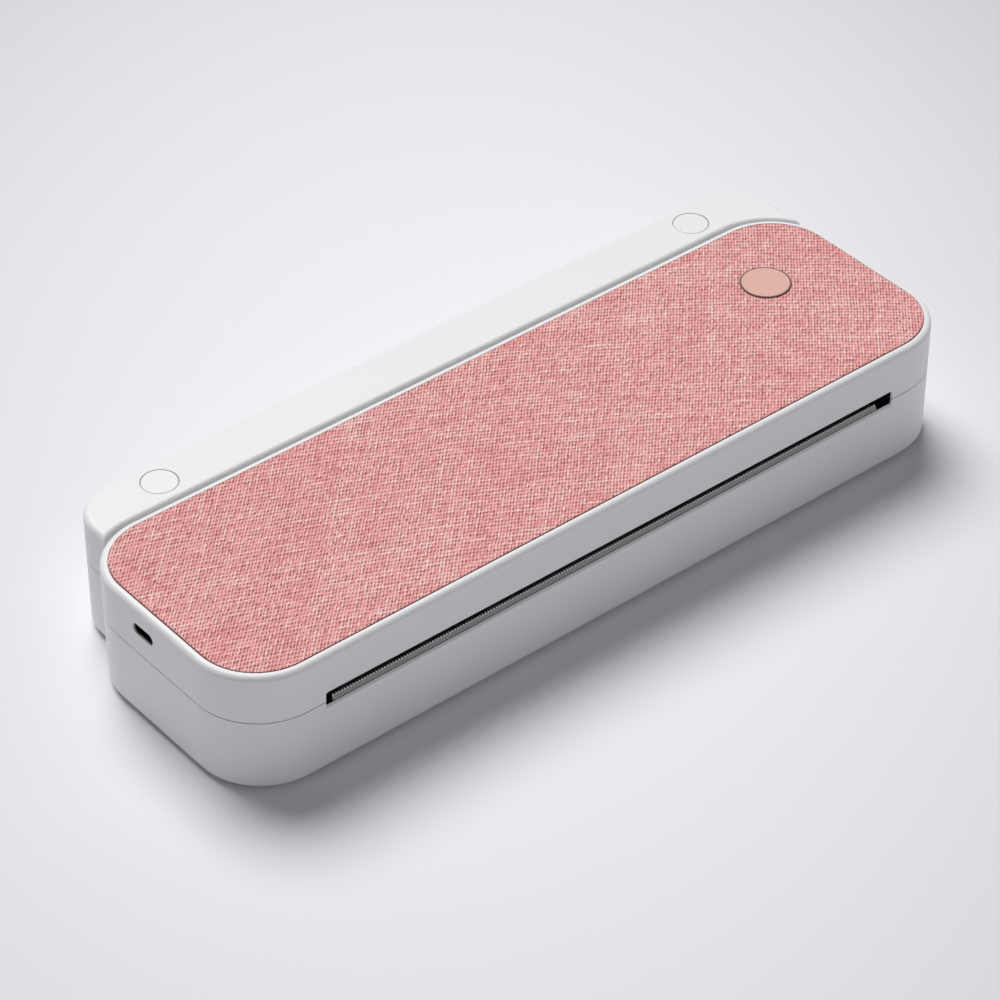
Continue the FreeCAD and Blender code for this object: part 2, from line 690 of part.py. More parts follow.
def locating_lip():
    """Rim inside the parting line, at the ends and the front corners."""
    outer = WALL + RUN_GAP
    inner = outer + LIP_THICK
    rise = body_block(outer, BASE_RIM - LIP_ROOT, BASE_RIM + LIP_RISE)
    root = body_block(WALL - SEAT_GAP, BASE_RIM - LIP_ROOT, BASE_RIM - RUN_GAP)
    ring = join([rise, root]).cut(body_block(inner, BASE_RIM - LIP_ROOT - CUT, BODY_HEIGHT))
    clear = SLOT_HALF + LIP_SLOT_GAP
    ring = ring.cut(box(-clear, clear, -HALF_DEPTH, HALF_DEPTH, 0, BODY_HEIGHT))
    ring = ring.cut(box(-HALF_LENGTH, HALF_LENGTH, LIP_BACK, HALF_DEPTH, 0, BODY_HEIGHT))
    for side in sides():
        x0, x1 = span(side, HALF_LENGTH - WALL - RUN_GAP - LIP_THICK - TONGUE_THICK,
                      HALF_LENGTH - WALL)
        ring = ring.cut(box(x0, x1, TONGUE_FRONT - TONGUE_SWEEP, TONGUE_FRONT + TONGUE_WIDTH
                            + RUN_GAP, BASE_RIM - LIP_ROOT - CUT, BODY_HEIGHT))
    return ring


def lower_case():
    """Base shell with slot lip, bar shelf, inlet, rail windows and posts."""
    shell = round_level(body_block(0, CASE_BOTTOM, BASE_RIM), CASE_BOTTOM, BASE_EDGE_R)
    cavity = round_level(body_block(WALL, FLOOR_TOP, BASE_RIM + CUT), FLOOR_TOP, INNER_EDGE_R)
    shell = shell.cut(cavity)
    shelf = box(-SLOT_HALF, SLOT_HALF, WALL - SEAT_GAP - HALF_DEPTH, BAR_SHELF - HALF_DEPTH,
                BAR_SEAT - BAR_SHELF_THICK, BAR_SEAT)
    posts = [post(BOSS_R, sx * GUIDE_BOSS_X, GUIDE_BOSS_Y, FLOOR_TOP - SEAT_GAP, LOWER_GUIDE_UNDER)
             for sx in sides()]
    shell = join([shell, shelf] + locating_lip().Solids + posts)
    face = -HALF_DEPTH
    notch = prism_x([(face - CUT, LIP_LOW), (face, LIP_LOW), (face + LIP_CHAMFER, LIP_HIGH),
                     (face + LIP_CHAMFER, BAR_SEAT), (face + WALL + CUT, BAR_SEAT),
                     (face + WALL + CUT, BASE_RIM + CUT), (face - CUT, BASE_RIM + CUT)],
                    -SLOT_HALF, SLOT_HALF)
    inlet = box(-SLOT_HALF, SLOT_HALF, HALF_DEPTH - WALL - CUT, HALF_DEPTH + CUT,
                PARTING - INLET_DOWN, BASE_RIM + CUT)
    shell = shell.cut(notch).cut(inlet)
    for side in sides():
        x0, x1 = span(side, SLIDE_X - SLIDE_WIDTH / 2 - RUN_GAP, SLIDE_X + SLIDE_WIDTH / 2 + RUN_GAP)
        shell = shell.cut(box(x0, x1, HALF_DEPTH - WALL - CUT, HALF_DEPTH + CUT,
                              SLIDE_LOW - RUN_GAP, SLIDE_HIGH + RUN_GAP))
    for x, y in foot_places():
        shell = drill(shell, x, y, CASE_BOTTOM - CUT, CASE_BOTTOM + FOOT_SINK, FOOT_R + SEAT_GAP)
    for x, y in (frame_screw_places() + channel_screw_places() + track_screw_places()
                 + cradle_screw_places()):
        shell = drill(shell, x, y, FLOOR_TOP - SMALL_LENGTH, FLOOR_TOP + CUT, SMALL_R + SEAT_GAP)
    for side in sides():
        shell = drill(shell, side * GUIDE_BOSS_X, GUIDE_BOSS_Y, LOWER_GUIDE_UNDER - SCREW_LENGTH,
                      LOWER_GUIDE_UNDER + CUT, SCREW_R + SEAT_GAP)
    for x, y in bar_screw_places():
        shell = drill(shell, x, y, BAR_SEAT - BAR_SHELF_THICK - CUT, BAR_SEAT + CUT,
                      SMALL_R + SEAT_GAP)
    return shell


def base_feet():
    """Rubber feet under the body."""
    return Part.makeCompound([post(FOOT_R, x, y, 0, CASE_BOTTOM + FOOT_SINK)
                              for x, y in foot_places()])


def tear_bar():
    """Leaning serrated strip on a flat foot."""
    front = -HALF_DEPTH + LIP_CHAMFER + FIT_GAP
    tip = PARTING - TOOTH_HEIGHT
    lean = BAR_LEAN * (tip - BAR_SEAT) / (PARTING - BAR_SEAT)
    strip = prism_x([(front, BAR_SEAT), (front + lean, tip), (front + lean + BAR_THICK, tip),
                     (front + BAR_THICK, BAR_SEAT)], BAR_LEFT, BAR_RIGHT)
    foot = box(BAR_LEFT, BAR_RIGHT, front, BAR_SHELF - HALF_DEPTH, BAR_SEAT, BAR_SEAT + BAR_THICK)
    base = join([strip, foot])
    count = int((BAR_RIGHT - BAR_LEFT) / TOOTH_PITCH)
    start = (BAR_LEFT + BAR_RIGHT - count * TOOTH_PITCH) / 2
    points = []
    for index in range(count):
        left = start + index * TOOTH_PITCH
        points.append(V(left, front + lean, tip))
        points.append(V(left + TOOTH_PITCH / 2, front + BAR_LEAN, PARTING))
    points.append(V(start + count * TOOTH_PITCH, front + lean, tip))
    below = (BAR_LEAN - lean) * BAR_THICK / TOOTH_HEIGHT
    points.append(V(start + count * TOOTH_PITCH, front + lean - below, tip - BAR_THICK))
    points.append(V(start, front + lean - below, tip - BAR_THICK))
    teeth = Part.Face(Part.makePolygon(points + points[:1])).extrude(V(0, BAR_THICK, 0))
    bar = join([base, teeth])
    for x, y in bar_screw_places():
        bar = drill(bar, x, y, BAR_SEAT - CUT, BAR_SEAT + BAR_THICK + CUT, SMALL_R + SEAT_GAP)
    return bar


def tear_bar_screws():
    """Screws of the tear bar."""
    seat = BAR_SEAT + BAR_THICK
    return Part.makeCompound([small_screw(x, y, seat) for x, y in bar_screw_places()])


def print_frame():
    """Bent steel frame: floor plate and two end plates."""
    floor = box(-FRAME_OUT, FRAME_OUT, FRAME_FRONT, FRAME_BACK, FLOOR_TOP, FLOOR_TOP + FRAME_THICK)
    left = rounded_through_x(FRAME_FRONT, FRAME_BACK, FLOOR_TOP, FRAME_TOP, -FRAME_OUT,
                             -FRAME_HALF, FRAME_EDGE_R)
    right = rounded_through_x(FRAME_FRONT, FRAME_MOTOR_BACK, FLOOR_TOP, FRAME_TOP, FRAME_HALF,
                              FRAME_OUT, FRAME_EDGE_R)
    frame = join([floor, left, right])
    for x0, x1 in ((-FRAME_OUT - CUT, CUT - FRAME_HALF), (FRAME_HALF - CUT, FRAME_OUT + CUT)):
        frame = frame.cut(rod(BUSH_R, x0, x1, PLATEN_Y, PLATEN_Z))
    frame = frame.cut(rod(MOTOR_BOSS_R + SEAT_GAP, FRAME_HALF - CUT, FRAME_OUT + CUT, MOTOR_Y,
                          MOTOR_Z))
    frame = frame.cut(rod(IDLER_PIN_R, FRAME_HALF - CUT, FRAME_OUT + CUT, IDLER_Y, IDLER_Z))
    for y in (MOTOR_Y - MOTOR_EAR_REACH, MOTOR_Y + MOTOR_EAR_REACH):
        frame = frame.cut(rod(SCREW_R + SEAT_GAP, FRAME_HALF - CUT, FRAME_OUT + CUT, y, MOTOR_Z))
    for x, y in frame_screw_places():
        frame = drill(frame, x, y, FLOOR_TOP - CUT, FLOOR_TOP + FRAME_THICK + CUT,
                      SMALL_R + SEAT_GAP)
    return frame


def frame_screws():
    """Screws that hold frame, channels, tracks and cradle to the floor."""
    seats = [(frame_screw_places(), FRAME_THICK), (channel_screw_places(), CHANNEL_WALL),
             (track_screw_places(), TRACK_FOOT_THICK), (cradle_screw_places(), CRADLE_WALL)]
    solids = []
    for places, thickness in seats:
        for x, y in places:
            solids.append(screw(x, y, FLOOR_TOP + thickness, True, SCREW_HEAD_R, SCREW_HEAD,
                                SMALL_R, thickness + FLOOR / 2))
    return Part.makeCompound(solids)


def platen_bushes():
    """Flanged bushes of the platen shaft in the end plates."""
    solids = []
    for side in sides():
        f0, f1 = span(side, FRAME_OUT, FRAME_OUT + BUSH_FLANGE)
        b0, b1 = span(side, FRAME_OUT + BUSH_FLANGE - BUSH_LENGTH, FRAME_OUT)
        bush = join([rod(BUSH_FLANGE_R, f0, f1, PLATEN_Y, PLATEN_Z),
                     rod(BUSH_R, b0, b1, PLATEN_Y, PLATEN_Z)])
        solids.append(bush.cut(rod(PLATEN_SHAFT_R + FIT_GAP, b0 - BUSH_LENGTH, f1 + BUSH_LENGTH,
                                   PLATEN_Y, PLATEN_Z)))
    return Part.makeCompound(solids)


def platen_shaft():
    """Steel shaft of the platen."""
    left = -FRAME_OUT - BUSH_FLANGE - GEAR_SIDE_GAP
    return rod(PLATEN_SHAFT_R, left, SLOW_X + GEAR_WIDTH, PLATEN_Y, PLATEN_Z)


def platen_roller():
    """Rubber sleeve on the shaft."""
    half = FRAME_HALF - PLATEN_END_GAP
    sleeve = rod(PLATEN_R, -half, half, PLATEN_Y, PLATEN_Z)
    return sleeve.cut(rod(PLATEN_SHAFT_R, -half - CUT, half + CUT, PLATEN_Y, PLATEN_Z))


def gear(teeth, module, bore, x0, x1, y, z, phase):
    """Spur gear along X with one tooth centred at the angle phase (radians)."""
    pitch_r = teeth * module / 2
    root_r = pitch_r - ROOT_SHARE * module
    tip_r = pitch_r + TIP_SHARE * module
    step = 2 * math.pi / teeth
    spare = GEAR_BACKLASH / pitch_r
    points = []
    for index in range(teeth):
        middle = phase + index * step
        for radius, width in ((root_r, -TOOTH_ROOT_SHARE), (pitch_r, -TOOTH_MID_SHARE),
                              (tip_r, -TOOTH_TIP_SHARE), (tip_r, TOOTH_TIP_SHARE),
                              (pitch_r, TOOTH_MID_SHARE), (root_r, TOOTH_ROOT_SHARE)):
            angle = middle + width * step / 2 - math.copysign(spare / 2, width)
            points.append((y + radius * math.cos(angle), z + radius * math.sin(angle)))
    return prism_x(points, x0, x1).cut(rod(bore, x0 - CUT, x1 + CUT, y, z))


def mesh_phase(first_phase, first_teeth, teeth, direction):
    """Phase that puts a gap where the first gear has a tooth; direction is first to second."""
    first_turns = (direction - first_phase) * first_teeth / (2 * math.pi)
    turns = 0.5 - first_turns
    return direction + math.pi - turns * 2 * math.pi / teeth


SLOW_DIRECTION = math.atan2(IDLER_Z - PLATEN_Z, IDLER_Y - PLATEN_Y)
FAST_DIRECTION = math.atan2(MOTOR_Z - IDLER_Z, MOTOR_Y - IDLER_Y)
IDLER_SMALL_PHASE = mesh_phase(0, PLATEN_TEETH, IDLER_SMALL_TEETH, SLOW_DIRECTION)
PINION_PHASE = mesh_phase(0, IDLER_LARGE_TEETH, PINION_TEETH, FAST_DIRECTION)


def platen_gear():
    """Gear on the platen shaft."""
    return gear(PLATEN_TEETH, SLOW_MODULE, PLATEN_SHAFT_R, SLOW_X, SLOW_X + GEAR_WIDTH,
                PLATEN_Y, PLATEN_Z, 0)


def idler_gear():
    """Two-step gear between motor and platen."""
    small = gear(IDLER_SMALL_TEETH, SLOW_MODULE, IDLER_PIN_R + FIT_GAP, SLOW_X,
                 FAST_X + FIT_GAP, IDLER_Y, IDLER_Z, IDLER_SMALL_PHASE)
    large = gear(IDLER_LARGE_TEETH, FAST_MODULE, IDLER_PIN_R + FIT_GAP, FAST_X,
                 FAST_X + GEAR_WIDTH, IDLER_Y, IDLER_Z, 0)
    return join([small, large])


def idler_pin():
    """Headed pin that carries the idler on the end plate."""
    head = FAST_X + GEAR_WIDTH + RUN_GAP
    return join([rod(IDLER_PIN_R, FRAME_HALF, head, IDLER_Y, IDLER_Z),
                 rod(IDLER_PIN_R * 2, head, head + BUSH_FLANGE, IDLER_Y, IDLER_Z)])


def motor():
    """Stepper motor can with ears and bearing boss."""
    face = FRAME_HALF
    can = rod(MOTOR_R, face - MOTOR_EAR_THICK - MOTOR_LENGTH, face - MOTOR_EAR_THICK, MOTOR_Y,
              MOTOR_Z)
    plate = join([rod(MOTOR_R, face - MOTOR_EAR_THICK, face, MOTOR_Y, MOTOR_Z)]
                 + [rod(MOTOR_EAR_R, face - MOTOR_EAR_THICK, face, y, MOTOR_Z)
                    for y in (MOTOR_Y - MOTOR_EAR_REACH, MOTOR_Y + MOTOR_EAR_REACH)]
                 + [box(face - MOTOR_EAR_THICK, face, MOTOR_Y - MOTOR_EAR_REACH,
                        MOTOR_Y + MOTOR_EAR_REACH, MOTOR_Z - MOTOR_EAR_R, MOTOR_Z + MOTOR_EAR_R)])
    boss = rod(MOTOR_BOSS_R, face, FRAME_OUT, MOTOR_Y, MOTOR_Z)
    body = join([can, plate, boss])
    body = body.cut(rod(MOTOR_SHAFT_R + FIT_GAP, face - MOTOR_LENGTH / 2, FRAME_OUT + CUT,
                        MOTOR_Y, MOTOR_Z))
    for y in (MOTOR_Y - MOTOR_EAR_REACH, MOTOR_Y + MOTOR_EAR_REACH):
        body = body.cut(rod(SCREW_R + SEAT_GAP, face - MOTOR_EAR_THICK - CUT, face + CUT, y,
                            MOTOR_Z))
    return body


def motor_screws():
    """Screws through the end plate into the motor's ears."""
    solids = []
    for y in (MOTOR_Y - MOTOR_EAR_REACH, MOTOR_Y + MOTOR_EAR_REACH):
        solids.append(join([
            rod(SCREW_R, FRAME_HALF - MOTOR_EAR_THICK * 2, FRAME_OUT, y, MOTOR_Z),
            rod(SCREW_HEAD_R, FRAME_OUT, FRAME_OUT + BUSH_FLANGE, y, MOTOR_Z)]))
    return Part.makeCompound(solids)


def motor_pinion():
    """Motor shaft with its pinion."""
    wheel = gear(PINION_TEETH, FAST_MODULE, MOTOR_SHAFT_R, FAST_X, FAST_X + GEAR_WIDTH, MOTOR_Y,
                 MOTOR_Z, PINION_PHASE)
    shaft = rod(MOTOR_SHAFT_R, FRAME_HALF - MOTOR_LENGTH / 2 + RUN_GAP, FAST_X + GEAR_WIDTH,
                MOTOR_Y, MOTOR_Z)
    return join([wheel, shaft])


def guide_ribs(front, back, low, high):
    """Thin ribs along the paper's way."""
    step = 2 * (GUIDE_HALF - BOSS_R * 2) / (GUIDE_RIBS - 1)
    ribs = []
    for index in range(GUIDE_RIBS):
        x = index * step - (GUIDE_HALF - BOSS_R * 2) + BOSS_R
        if index >= GUIDE_RIBS / 2:
            x = x - BOSS_R * 2
        ribs.append(box(x - GUIDE_RIB_WIDTH / 2, x + GUIDE_RIB_WIDTH / 2, front, back, low, high))
    return ribs


def lower_paper_guide():
    """Ribbed plate that carries the paper from the inlet to the platen."""
    plate = box(-GUIDE_HALF, GUIDE_HALF, LOWER_GUIDE_FRONT, LOWER_GUIDE_BACK, LOWER_GUIDE_UNDER,
                LOWER_GUIDE_TOP)
    ribs = guide_ribs(LOWER_GUIDE_FRONT, LOWER_GUIDE_BACK, LOWER_GUIDE_TOP,
                      LOWER_GUIDE_TOP + GUIDE_RIB)
    plate = join([plate] + ribs)
    window = box(-SENSOR_HALF - SEAT_GAP, SENSOR_HALF + SEAT_GAP, SENSOR_Y - SENSOR_HALF
                 - SEAT_GAP, SENSOR_Y + SENSOR_HALF + SEAT_GAP, LOWER_GUIDE_UNDER - CUT,
                 LOWER_GUIDE_TOP + GUIDE_RIB + CUT)
    plate = plate.cut(window)
    for side in sides():
        plate = drill(plate, side * GUIDE_BOSS_X, GUIDE_BOSS_Y, LOWER_GUIDE_UNDER - CUT,
                      LOWER_GUIDE_TOP + GUIDE_RIB + CUT, SCREW_R + SEAT_GAP)
    return plate


def paper_sensor():
    """Reflective sensor in the window of the lower guide, on a small board under it."""
    cell = box(-SENSOR_HALF, SENSOR_HALF, SENSOR_Y - SENSOR_HALF, SENSOR_Y + SENSOR_HALF,
               LOWER_GUIDE_UNDER, LOWER_GUIDE_TOP)
    board = box(-SENSOR_WIDE_HALF, SENSOR_WIDE_HALF, SENSOR_Y - SENSOR_HALF, SENSOR_Y + SENSOR_HALF,
                LOWER_GUIDE_UNDER - SENSOR_BASE, LOWER_GUIDE_UNDER)
    return join([cell, board])


def guide_screws():
    """Screws of both paper guides that show in the open printer."""
    lower = [screw(side * GUIDE_BOSS_X, GUIDE_BOSS_Y, LOWER_GUIDE_TOP) for side in sides()]
    return Part.makeCompound(lower)


def battery_cells():
    """Two round cells end to end."""
    solids = []
    for start in (-CELL_LENGTH, 0):
        can = rod(CELL_R, start, start + CELL_LENGTH - CELL_CAP, CELL_Y, CELL_Z)
        cap = rod(CELL_CAP_R, start + CELL_LENGTH - CELL_CAP, start + CELL_LENGTH, CELL_Y, CELL_Z)
        solids.append(join([can, cap]))
    return Part.makeCompound(solids)


def battery_cradle():
    """Open tray that holds the cells, with a screw lug at each end."""
    half = CELL_LENGTH + CRADLE_WALL
    high = CELL_Z + CELL_R * (1 - CRADLE_SEAT_SHARE)
    tray = box(-half, half, CELL_Y - CRADLE_DEPTH / 2, CELL_Y + CRADLE_DEPTH / 2, FLOOR_TOP, high)
    tray = tray.cut(rod(CELL_R, -CELL_LENGTH, CELL_LENGTH, CELL_Y, CELL_Z))
    tray = tray.cut(box(-CELL_LENGTH, CELL_LENGTH, CELL_Y - CELL_R, CELL_Y + CELL_R, CELL_Z, high
                        + CUT))
    lugs = [box(*span(side, half - SEAT_GAP, half + CRADLE_WALL + BOSS_R * 2), CELL_Y - BOSS_R,
                CELL_Y + BOSS_R, FLOOR_TOP, FLOOR_TOP + CRADLE_WALL) for side in sides()]
    tray = join([tray] + lugs)
    for x, y in cradle_screw_places():
        tray = drill(tray, x, y, FLOOR_TOP - CUT, FLOOR_TOP + CRADLE_WALL + CUT, SMALL_R + SEAT_GAP)
    return tray


def slide_channels():
    """Two box channels on the floor that guide the holder's arms."""
    solids = []
    half = SLIDE_WIDTH / 2 + RUN_GAP
    back = INNER_BACK
    for side in sides():
        centre = side * SLIDE_X
        outer = box(centre - half - CHANNEL_WALL, centre + half + CHANNEL_WALL, SLIDE_FRONT, back,
                    FLOOR_TOP, SLIDE_HIGH + RUN_GAP + CHANNEL_WALL)
        lugs = []
        for x, y in channel_screw_places():
            if x * side > 0:
                lug_x = span(side, SLIDE_X - half - CHANNEL_WALL - CHANNEL_LUG,
                             SLIDE_X - half - CHANNEL_WALL + SEAT_GAP)
                lugs.append(box(*lug_x, y - CHANNEL_LUG_LENGTH / 2, y + CHANNEL_LUG_LENGTH / 2,
                                FLOOR_TOP, FLOOR_TOP + CHANNEL_WALL))
        channel = join([outer] + lugs)
        channel = channel.cut(box(centre - half, centre + half, SLIDE_FRONT - CUT, back + CUT,
                                  SLIDE_LOW - RUN_GAP, SLIDE_HIGH + RUN_GAP))
        for x, y in channel_screw_places():
            if x * side > 0:
                channel = drill(channel, x, y, FLOOR_TOP - CUT, FLOOR_TOP + CHANNEL_WALL + CUT,
                                SMALL_R + SEAT_GAP)
        solids.append(channel)
    return Part.makeCompound(solids)


def hinge_point(angle, radius):
    """Point in the YZ plane at an angle below the hinge axis's forward direction."""
    turn = math.radians(angle)
    return HINGE_Y - radius * math.cos(turn), HINGE_Z - radius * math.sin(turn)


def arc_band(radius, half, low_angle, high_angle, x0, x1):
    """Curved bar about the hinge axis with round ends, extruded along X."""
    angles = (low_angle, (low_angle + high_angle) / 2, high_angle)
    outer = [V(x0, *hinge_point(angle, radius + half)) for angle in angles]
    inner = [V(x0, *hinge_point(angle, radius - half)) for angle in angles]
    low_end = math.degrees(half / radius)
    low_cap = V(x0, *hinge_point(low_angle - low_end, radius))
    high_cap = V(x0, *hinge_point(high_angle + low_end, radius))
    wire = Part.Wire([
        Part.Arc(outer[0], outer[1], outer[2]).toShape(),
        Part.Arc(outer[2], high_cap, inner[2]).toShape(),
        Part.Arc(inner[2], inner[1], inner[0]).toShape(),
        Part.Arc(inner[0], low_cap, outer[0]).toShape()])
    return Part.Face(wire).extrude(V(x1 - x0, 0, 0))


def hinge_tracks():
    """Curved tracks on the base, centred on the cover's hinge axis."""
    solids = []
    pin_turn = math.degrees(TRACK_PIN_R / TRACK_R)
    low = PIN_HIGH_ANGLE - COVER_OPEN_ANGLE - TRACK_SPARE_ANGLE
    high = PIN_LOW_ANGLE + TRACK_SPARE_ANGLE
    for side in sides():
        x0, x1 = span(side, TRACK_X, TRACK_X + TRACK_THICK)
        band = arc_band(TRACK_R, TRACK_BAND / 2, low + pin_turn, high - pin_turn, x0, x1)
        leg_z = hinge_point(high, TRACK_R)[1]
        leg = box(x0, x1, INNER_BACK - TRACK_LEG, INNER_BACK, FLOOR_TOP, leg_z)
        f0, f1 = span(side, TRACK_X - TRACK_FOOT_REACH, TRACK_X + TRACK_THICK)
        foot = box(f0, f1, INNER_BACK - TRACK_FOOT_LENGTH, INNER_BACK, FLOOR_TOP,
                   FLOOR_TOP + TRACK_FOOT_THICK)
        track = join([band, leg, foot])
        track = track.common(box(f0, f1, -HALF_DEPTH, INNER_BACK, FLOOR_TOP, CEILING - RUN_GAP))
        slot = arc_band(TRACK_R, TRACK_PIN_R + FIT_GAP, low, high, x0 - CUT, x1 + CUT)
        track = track.cut(slot)
        for x, y in track_screw_places():
            if x * side > 0:
                track = drill(track, x, y, FLOOR_TOP - CUT, FLOOR_TOP + TRACK_FOOT_THICK + CUT,
                              SMALL_R + SEAT_GAP)
        solids.append(track)
    return Part.makeCompound(solids)


def hinge_arms():
    """Cover's hinge arms with a flange on the ceiling."""
    solids = []
    inner = TRACK_X + TRACK_THICK + RUN_GAP
    back = HALF_DEPTH - WALL - RUN_GAP
    for side in sides():
        x0, x1 = span(side, inner, inner + ARM_PLATE_THICK)
        low_y, low_z = hinge_point(PIN_LOW_ANGLE, TRACK_R)
        high_y, high_z = hinge_point(PIN_HIGH_ANGLE, TRACK_R)
        reach = ARM_PLATE_WIDTH / 2
        middle = (low_y + high_y) / 2
        plate = box(x0, x1, middle - reach, middle + reach, low_z, CEILING)
        rounds = [rod(TRACK_BAND / 2, x0, x1, low_y, low_z),
                  rod(TRACK_BAND / 2, x0, x1, high_y, high_z)]
        f0, f1 = span(side, inner, inner + ARM_PLATE_THICK + ARM_FLANGE)
        flange = box(f0, f1, back - ARM_FLANGE_LENGTH, back - ARM_FLANGE_THICK,
                     CEILING - ARM_FLANGE_THICK, CEILING)
        arm = join([plate] + rounds + [flange])
        for y, z in ((low_y, low_z), (high_y, high_z)):
            arm = arm.cut(rod(TRACK_PIN_R, x0 - CUT, x1 + CUT, y, z))
        for x, y in arm_screw_places():
            if x * side > 0:
                arm = drill(arm, x, y, CEILING - ARM_FLANGE_THICK - CUT, CEILING + CUT,
                            SMALL_R + SEAT_GAP)
        solids.append(arm)
    return Part.makeCompound(solids)


def hinge_pins():
    """Pins of the arms that run in the tracks."""
    solids = []
    inner = TRACK_X + TRACK_THICK + RUN_GAP
    for side in sides():
        x0, x1 = span(side, TRACK_X - RUN_GAP, inner + ARM_PLATE_THICK)
        for angle in (PIN_LOW_ANGLE, PIN_HIGH_ANGLE):
            y, z = hinge_point(angle, TRACK_R)
            solids.append(rod(TRACK_PIN_R, x0, x1, y, z))
    return Part.makeCompound(solids)


def head_bracket():
    """Steel plate under the ceiling with an ear at each end for the head's pivot."""
    plate = box(-BRACKET_HALF, BRACKET_HALF, BRACKET_FRONT, BRACKET_BACK, BRACKET_UNDER, CEILING)
    ears = []
    for side in sides():
        x0, x1 = span(side, BRACKET_HALF - BRACKET_THICK, BRACKET_HALF)
        ears.append(box(x0, x1, HEAD_PIVOT_Y - BRACKET_EAR / 2, BRACKET_BACK, HEAD_PIVOT_Z,
                        CEILING))
        ears.append(rod(HEAD_EAR_R, x0, x1, HEAD_PIVOT_Y, HEAD_PIVOT_Z))
    bracket = join([plate] + ears)
    bracket = bracket.cut(rod(HEAD_PIVOT_R, -HALF_LENGTH, HALF_LENGTH, HEAD_PIVOT_Y, HEAD_PIVOT_Z))
    for x, y in bracket_screw_places():
        bracket = drill(bracket, x, y, BRACKET_UNDER - CUT, CEILING + CUT, SMALL_R + SEAT_GAP)
    return bracket


def head_pivot_pins():
    """Short pins through bracket and heat sink."""
    solids = []
    inner = BRACKET_HALF - BRACKET_THICK - RUN_GAP - HEAD_EAR_THICK
    for side in sides():
        x0, x1 = span(side, inner, BRACKET_HALF)
        solids.append(rod(HEAD_PIVOT_R, x0, x1, HEAD_PIVOT_Y, HEAD_PIVOT_Z))
    return Part.makeCompound(solids)


def head_heatsink():
    """Aluminium bar that carries the head and swings on the pivot pins."""
    far = BRACKET_HALF - BRACKET_THICK - RUN_GAP
    bar = box(-HEAD_HALF, HEAD_HALF, SINK_FRONT, SINK_BACK, SINK_UNDER, SINK_TOP)
    step = (SINK_BACK - HEAD_EAR_R * 2 - SINK_FRONT) / SINK_FINS
    fins = []
    for index in range(SINK_FINS):
        y = SINK_FRONT + index * step
        if abs(y + SINK_FIN / 2 - HEAD_SPRING_Y) > HEAD_SPRING_R + SINK_FIN:
            fins.append(box(-HEAD_HALF, HEAD_HALF, y, y + SINK_FIN, SINK_TOP, SINK_TOP
                            + SINK_FIN_HEIGHT))
    ears = []
    for side in sides():
        x0, x1 = span(side, far - HEAD_EAR_THICK, far)
        ears.append(rod(HEAD_EAR_R, x0, x1, HEAD_PIVOT_Y, HEAD_PIVOT_Z))
        ears.append(box(x0, x1, SINK_BACK - HEAD_EAR_R, HEAD_PIVOT_Y, SINK_UNDER, SINK_TOP))
        ears.append(box(x0, x1, SINK_FRONT, SINK_BACK, SINK_UNDER, SINK_TOP))
    sink = join([bar] + fins + ears)
    return sink.cut(rod(HEAD_PIVOT_R + FIT_GAP, -HALF_LENGTH, HALF_LENGTH, HEAD_PIVOT_Y,
                        HEAD_PIVOT_Z))


def print_head():
    """Ceramic heater plate."""
    return box(-HEAD_HALF, HEAD_HALF, HEAD_FRONT, HEAD_BACK, HEAD_UNDER, SINK_UNDER)


def head_springs():
    """Springs that press the head down."""
    step = 2 * HEAD_HALF / HEAD_SPRINGS
    return Part.makeCompound([
        coil((index + 0.5) * step - HEAD_HALF, HEAD_SPRING_Y, SINK_TOP, BRACKET_UNDER,
             HEAD_SPRING_R, HEAD_SPRING_WIRE) for index in range(HEAD_SPRINGS)])


def cover_screws():
    """Screws of head bracket and hinge arms."""
    solids = [screw(x, y, BRACKET_UNDER, False, SCREW_HEAD_R, SCREW_HEAD, SMALL_R, BRACKET_THICK
                    + TOP_WALL / 2) for x, y in bracket_screw_places()]
    solids += [screw(x, y, CEILING - ARM_FLANGE_THICK, False, SCREW_HEAD_R, SCREW_HEAD, SMALL_R,
                     ARM_FLANGE_THICK + TOP_WALL / 2) for x, y in arm_screw_places()]
    return Part.makeCompound(solids)


def upper_paper_guide():
    """Ribbed plate above the paper, on posts of the cover."""
    plate = box(-GUIDE_HALF, GUIDE_HALF, UPPER_GUIDE_FRONT, UPPER_GUIDE_BACK, UPPER_GUIDE_UNDER,
                UPPER_GUIDE_TOP)
    ribs = guide_ribs(UPPER_GUIDE_FRONT, UPPER_GUIDE_BACK, UPPER_GUIDE_UNDER - GUIDE_RIB,
                      UPPER_GUIDE_UNDER)
    plate = join([plate] + ribs)
    for x, y in upper_guide_places():
        plate = drill(plate, x, y, UPPER_GUIDE_UNDER - GUIDE_RIB - CUT, UPPER_GUIDE_TOP + CUT,
                      SCREW_R + SEAT_GAP)
    return plate


def upper_guide_screws():
    """Screws of the upper paper guide."""
    return Part.makeCompound([screw(x, y, UPPER_GUIDE_UNDER, False)
                              for x, y in upper_guide_places()])


def main_board():
    """Circuit board with its screw holes."""
    board = box(BOARD_LEFT, BOARD_RIGHT, BOARD_FRONT, BOARD_BACK, BOARD_UNDER, BOARD_TOP)
    for x, y in board_screw_places():
        board = drill(board, x, y, BOARD_UNDER - CUT, BOARD_TOP + CUT, SMALL_R + SEAT_GAP)
    return board


def board_screws():
    """Screws of the main board."""
    return Part.makeCompound([
        screw(x, y, BOARD_UNDER, False, SCREW_HEAD_R, SCREW_HEAD, SMALL_R, SCREW_LENGTH)
        for x, y in board_screw_places()])


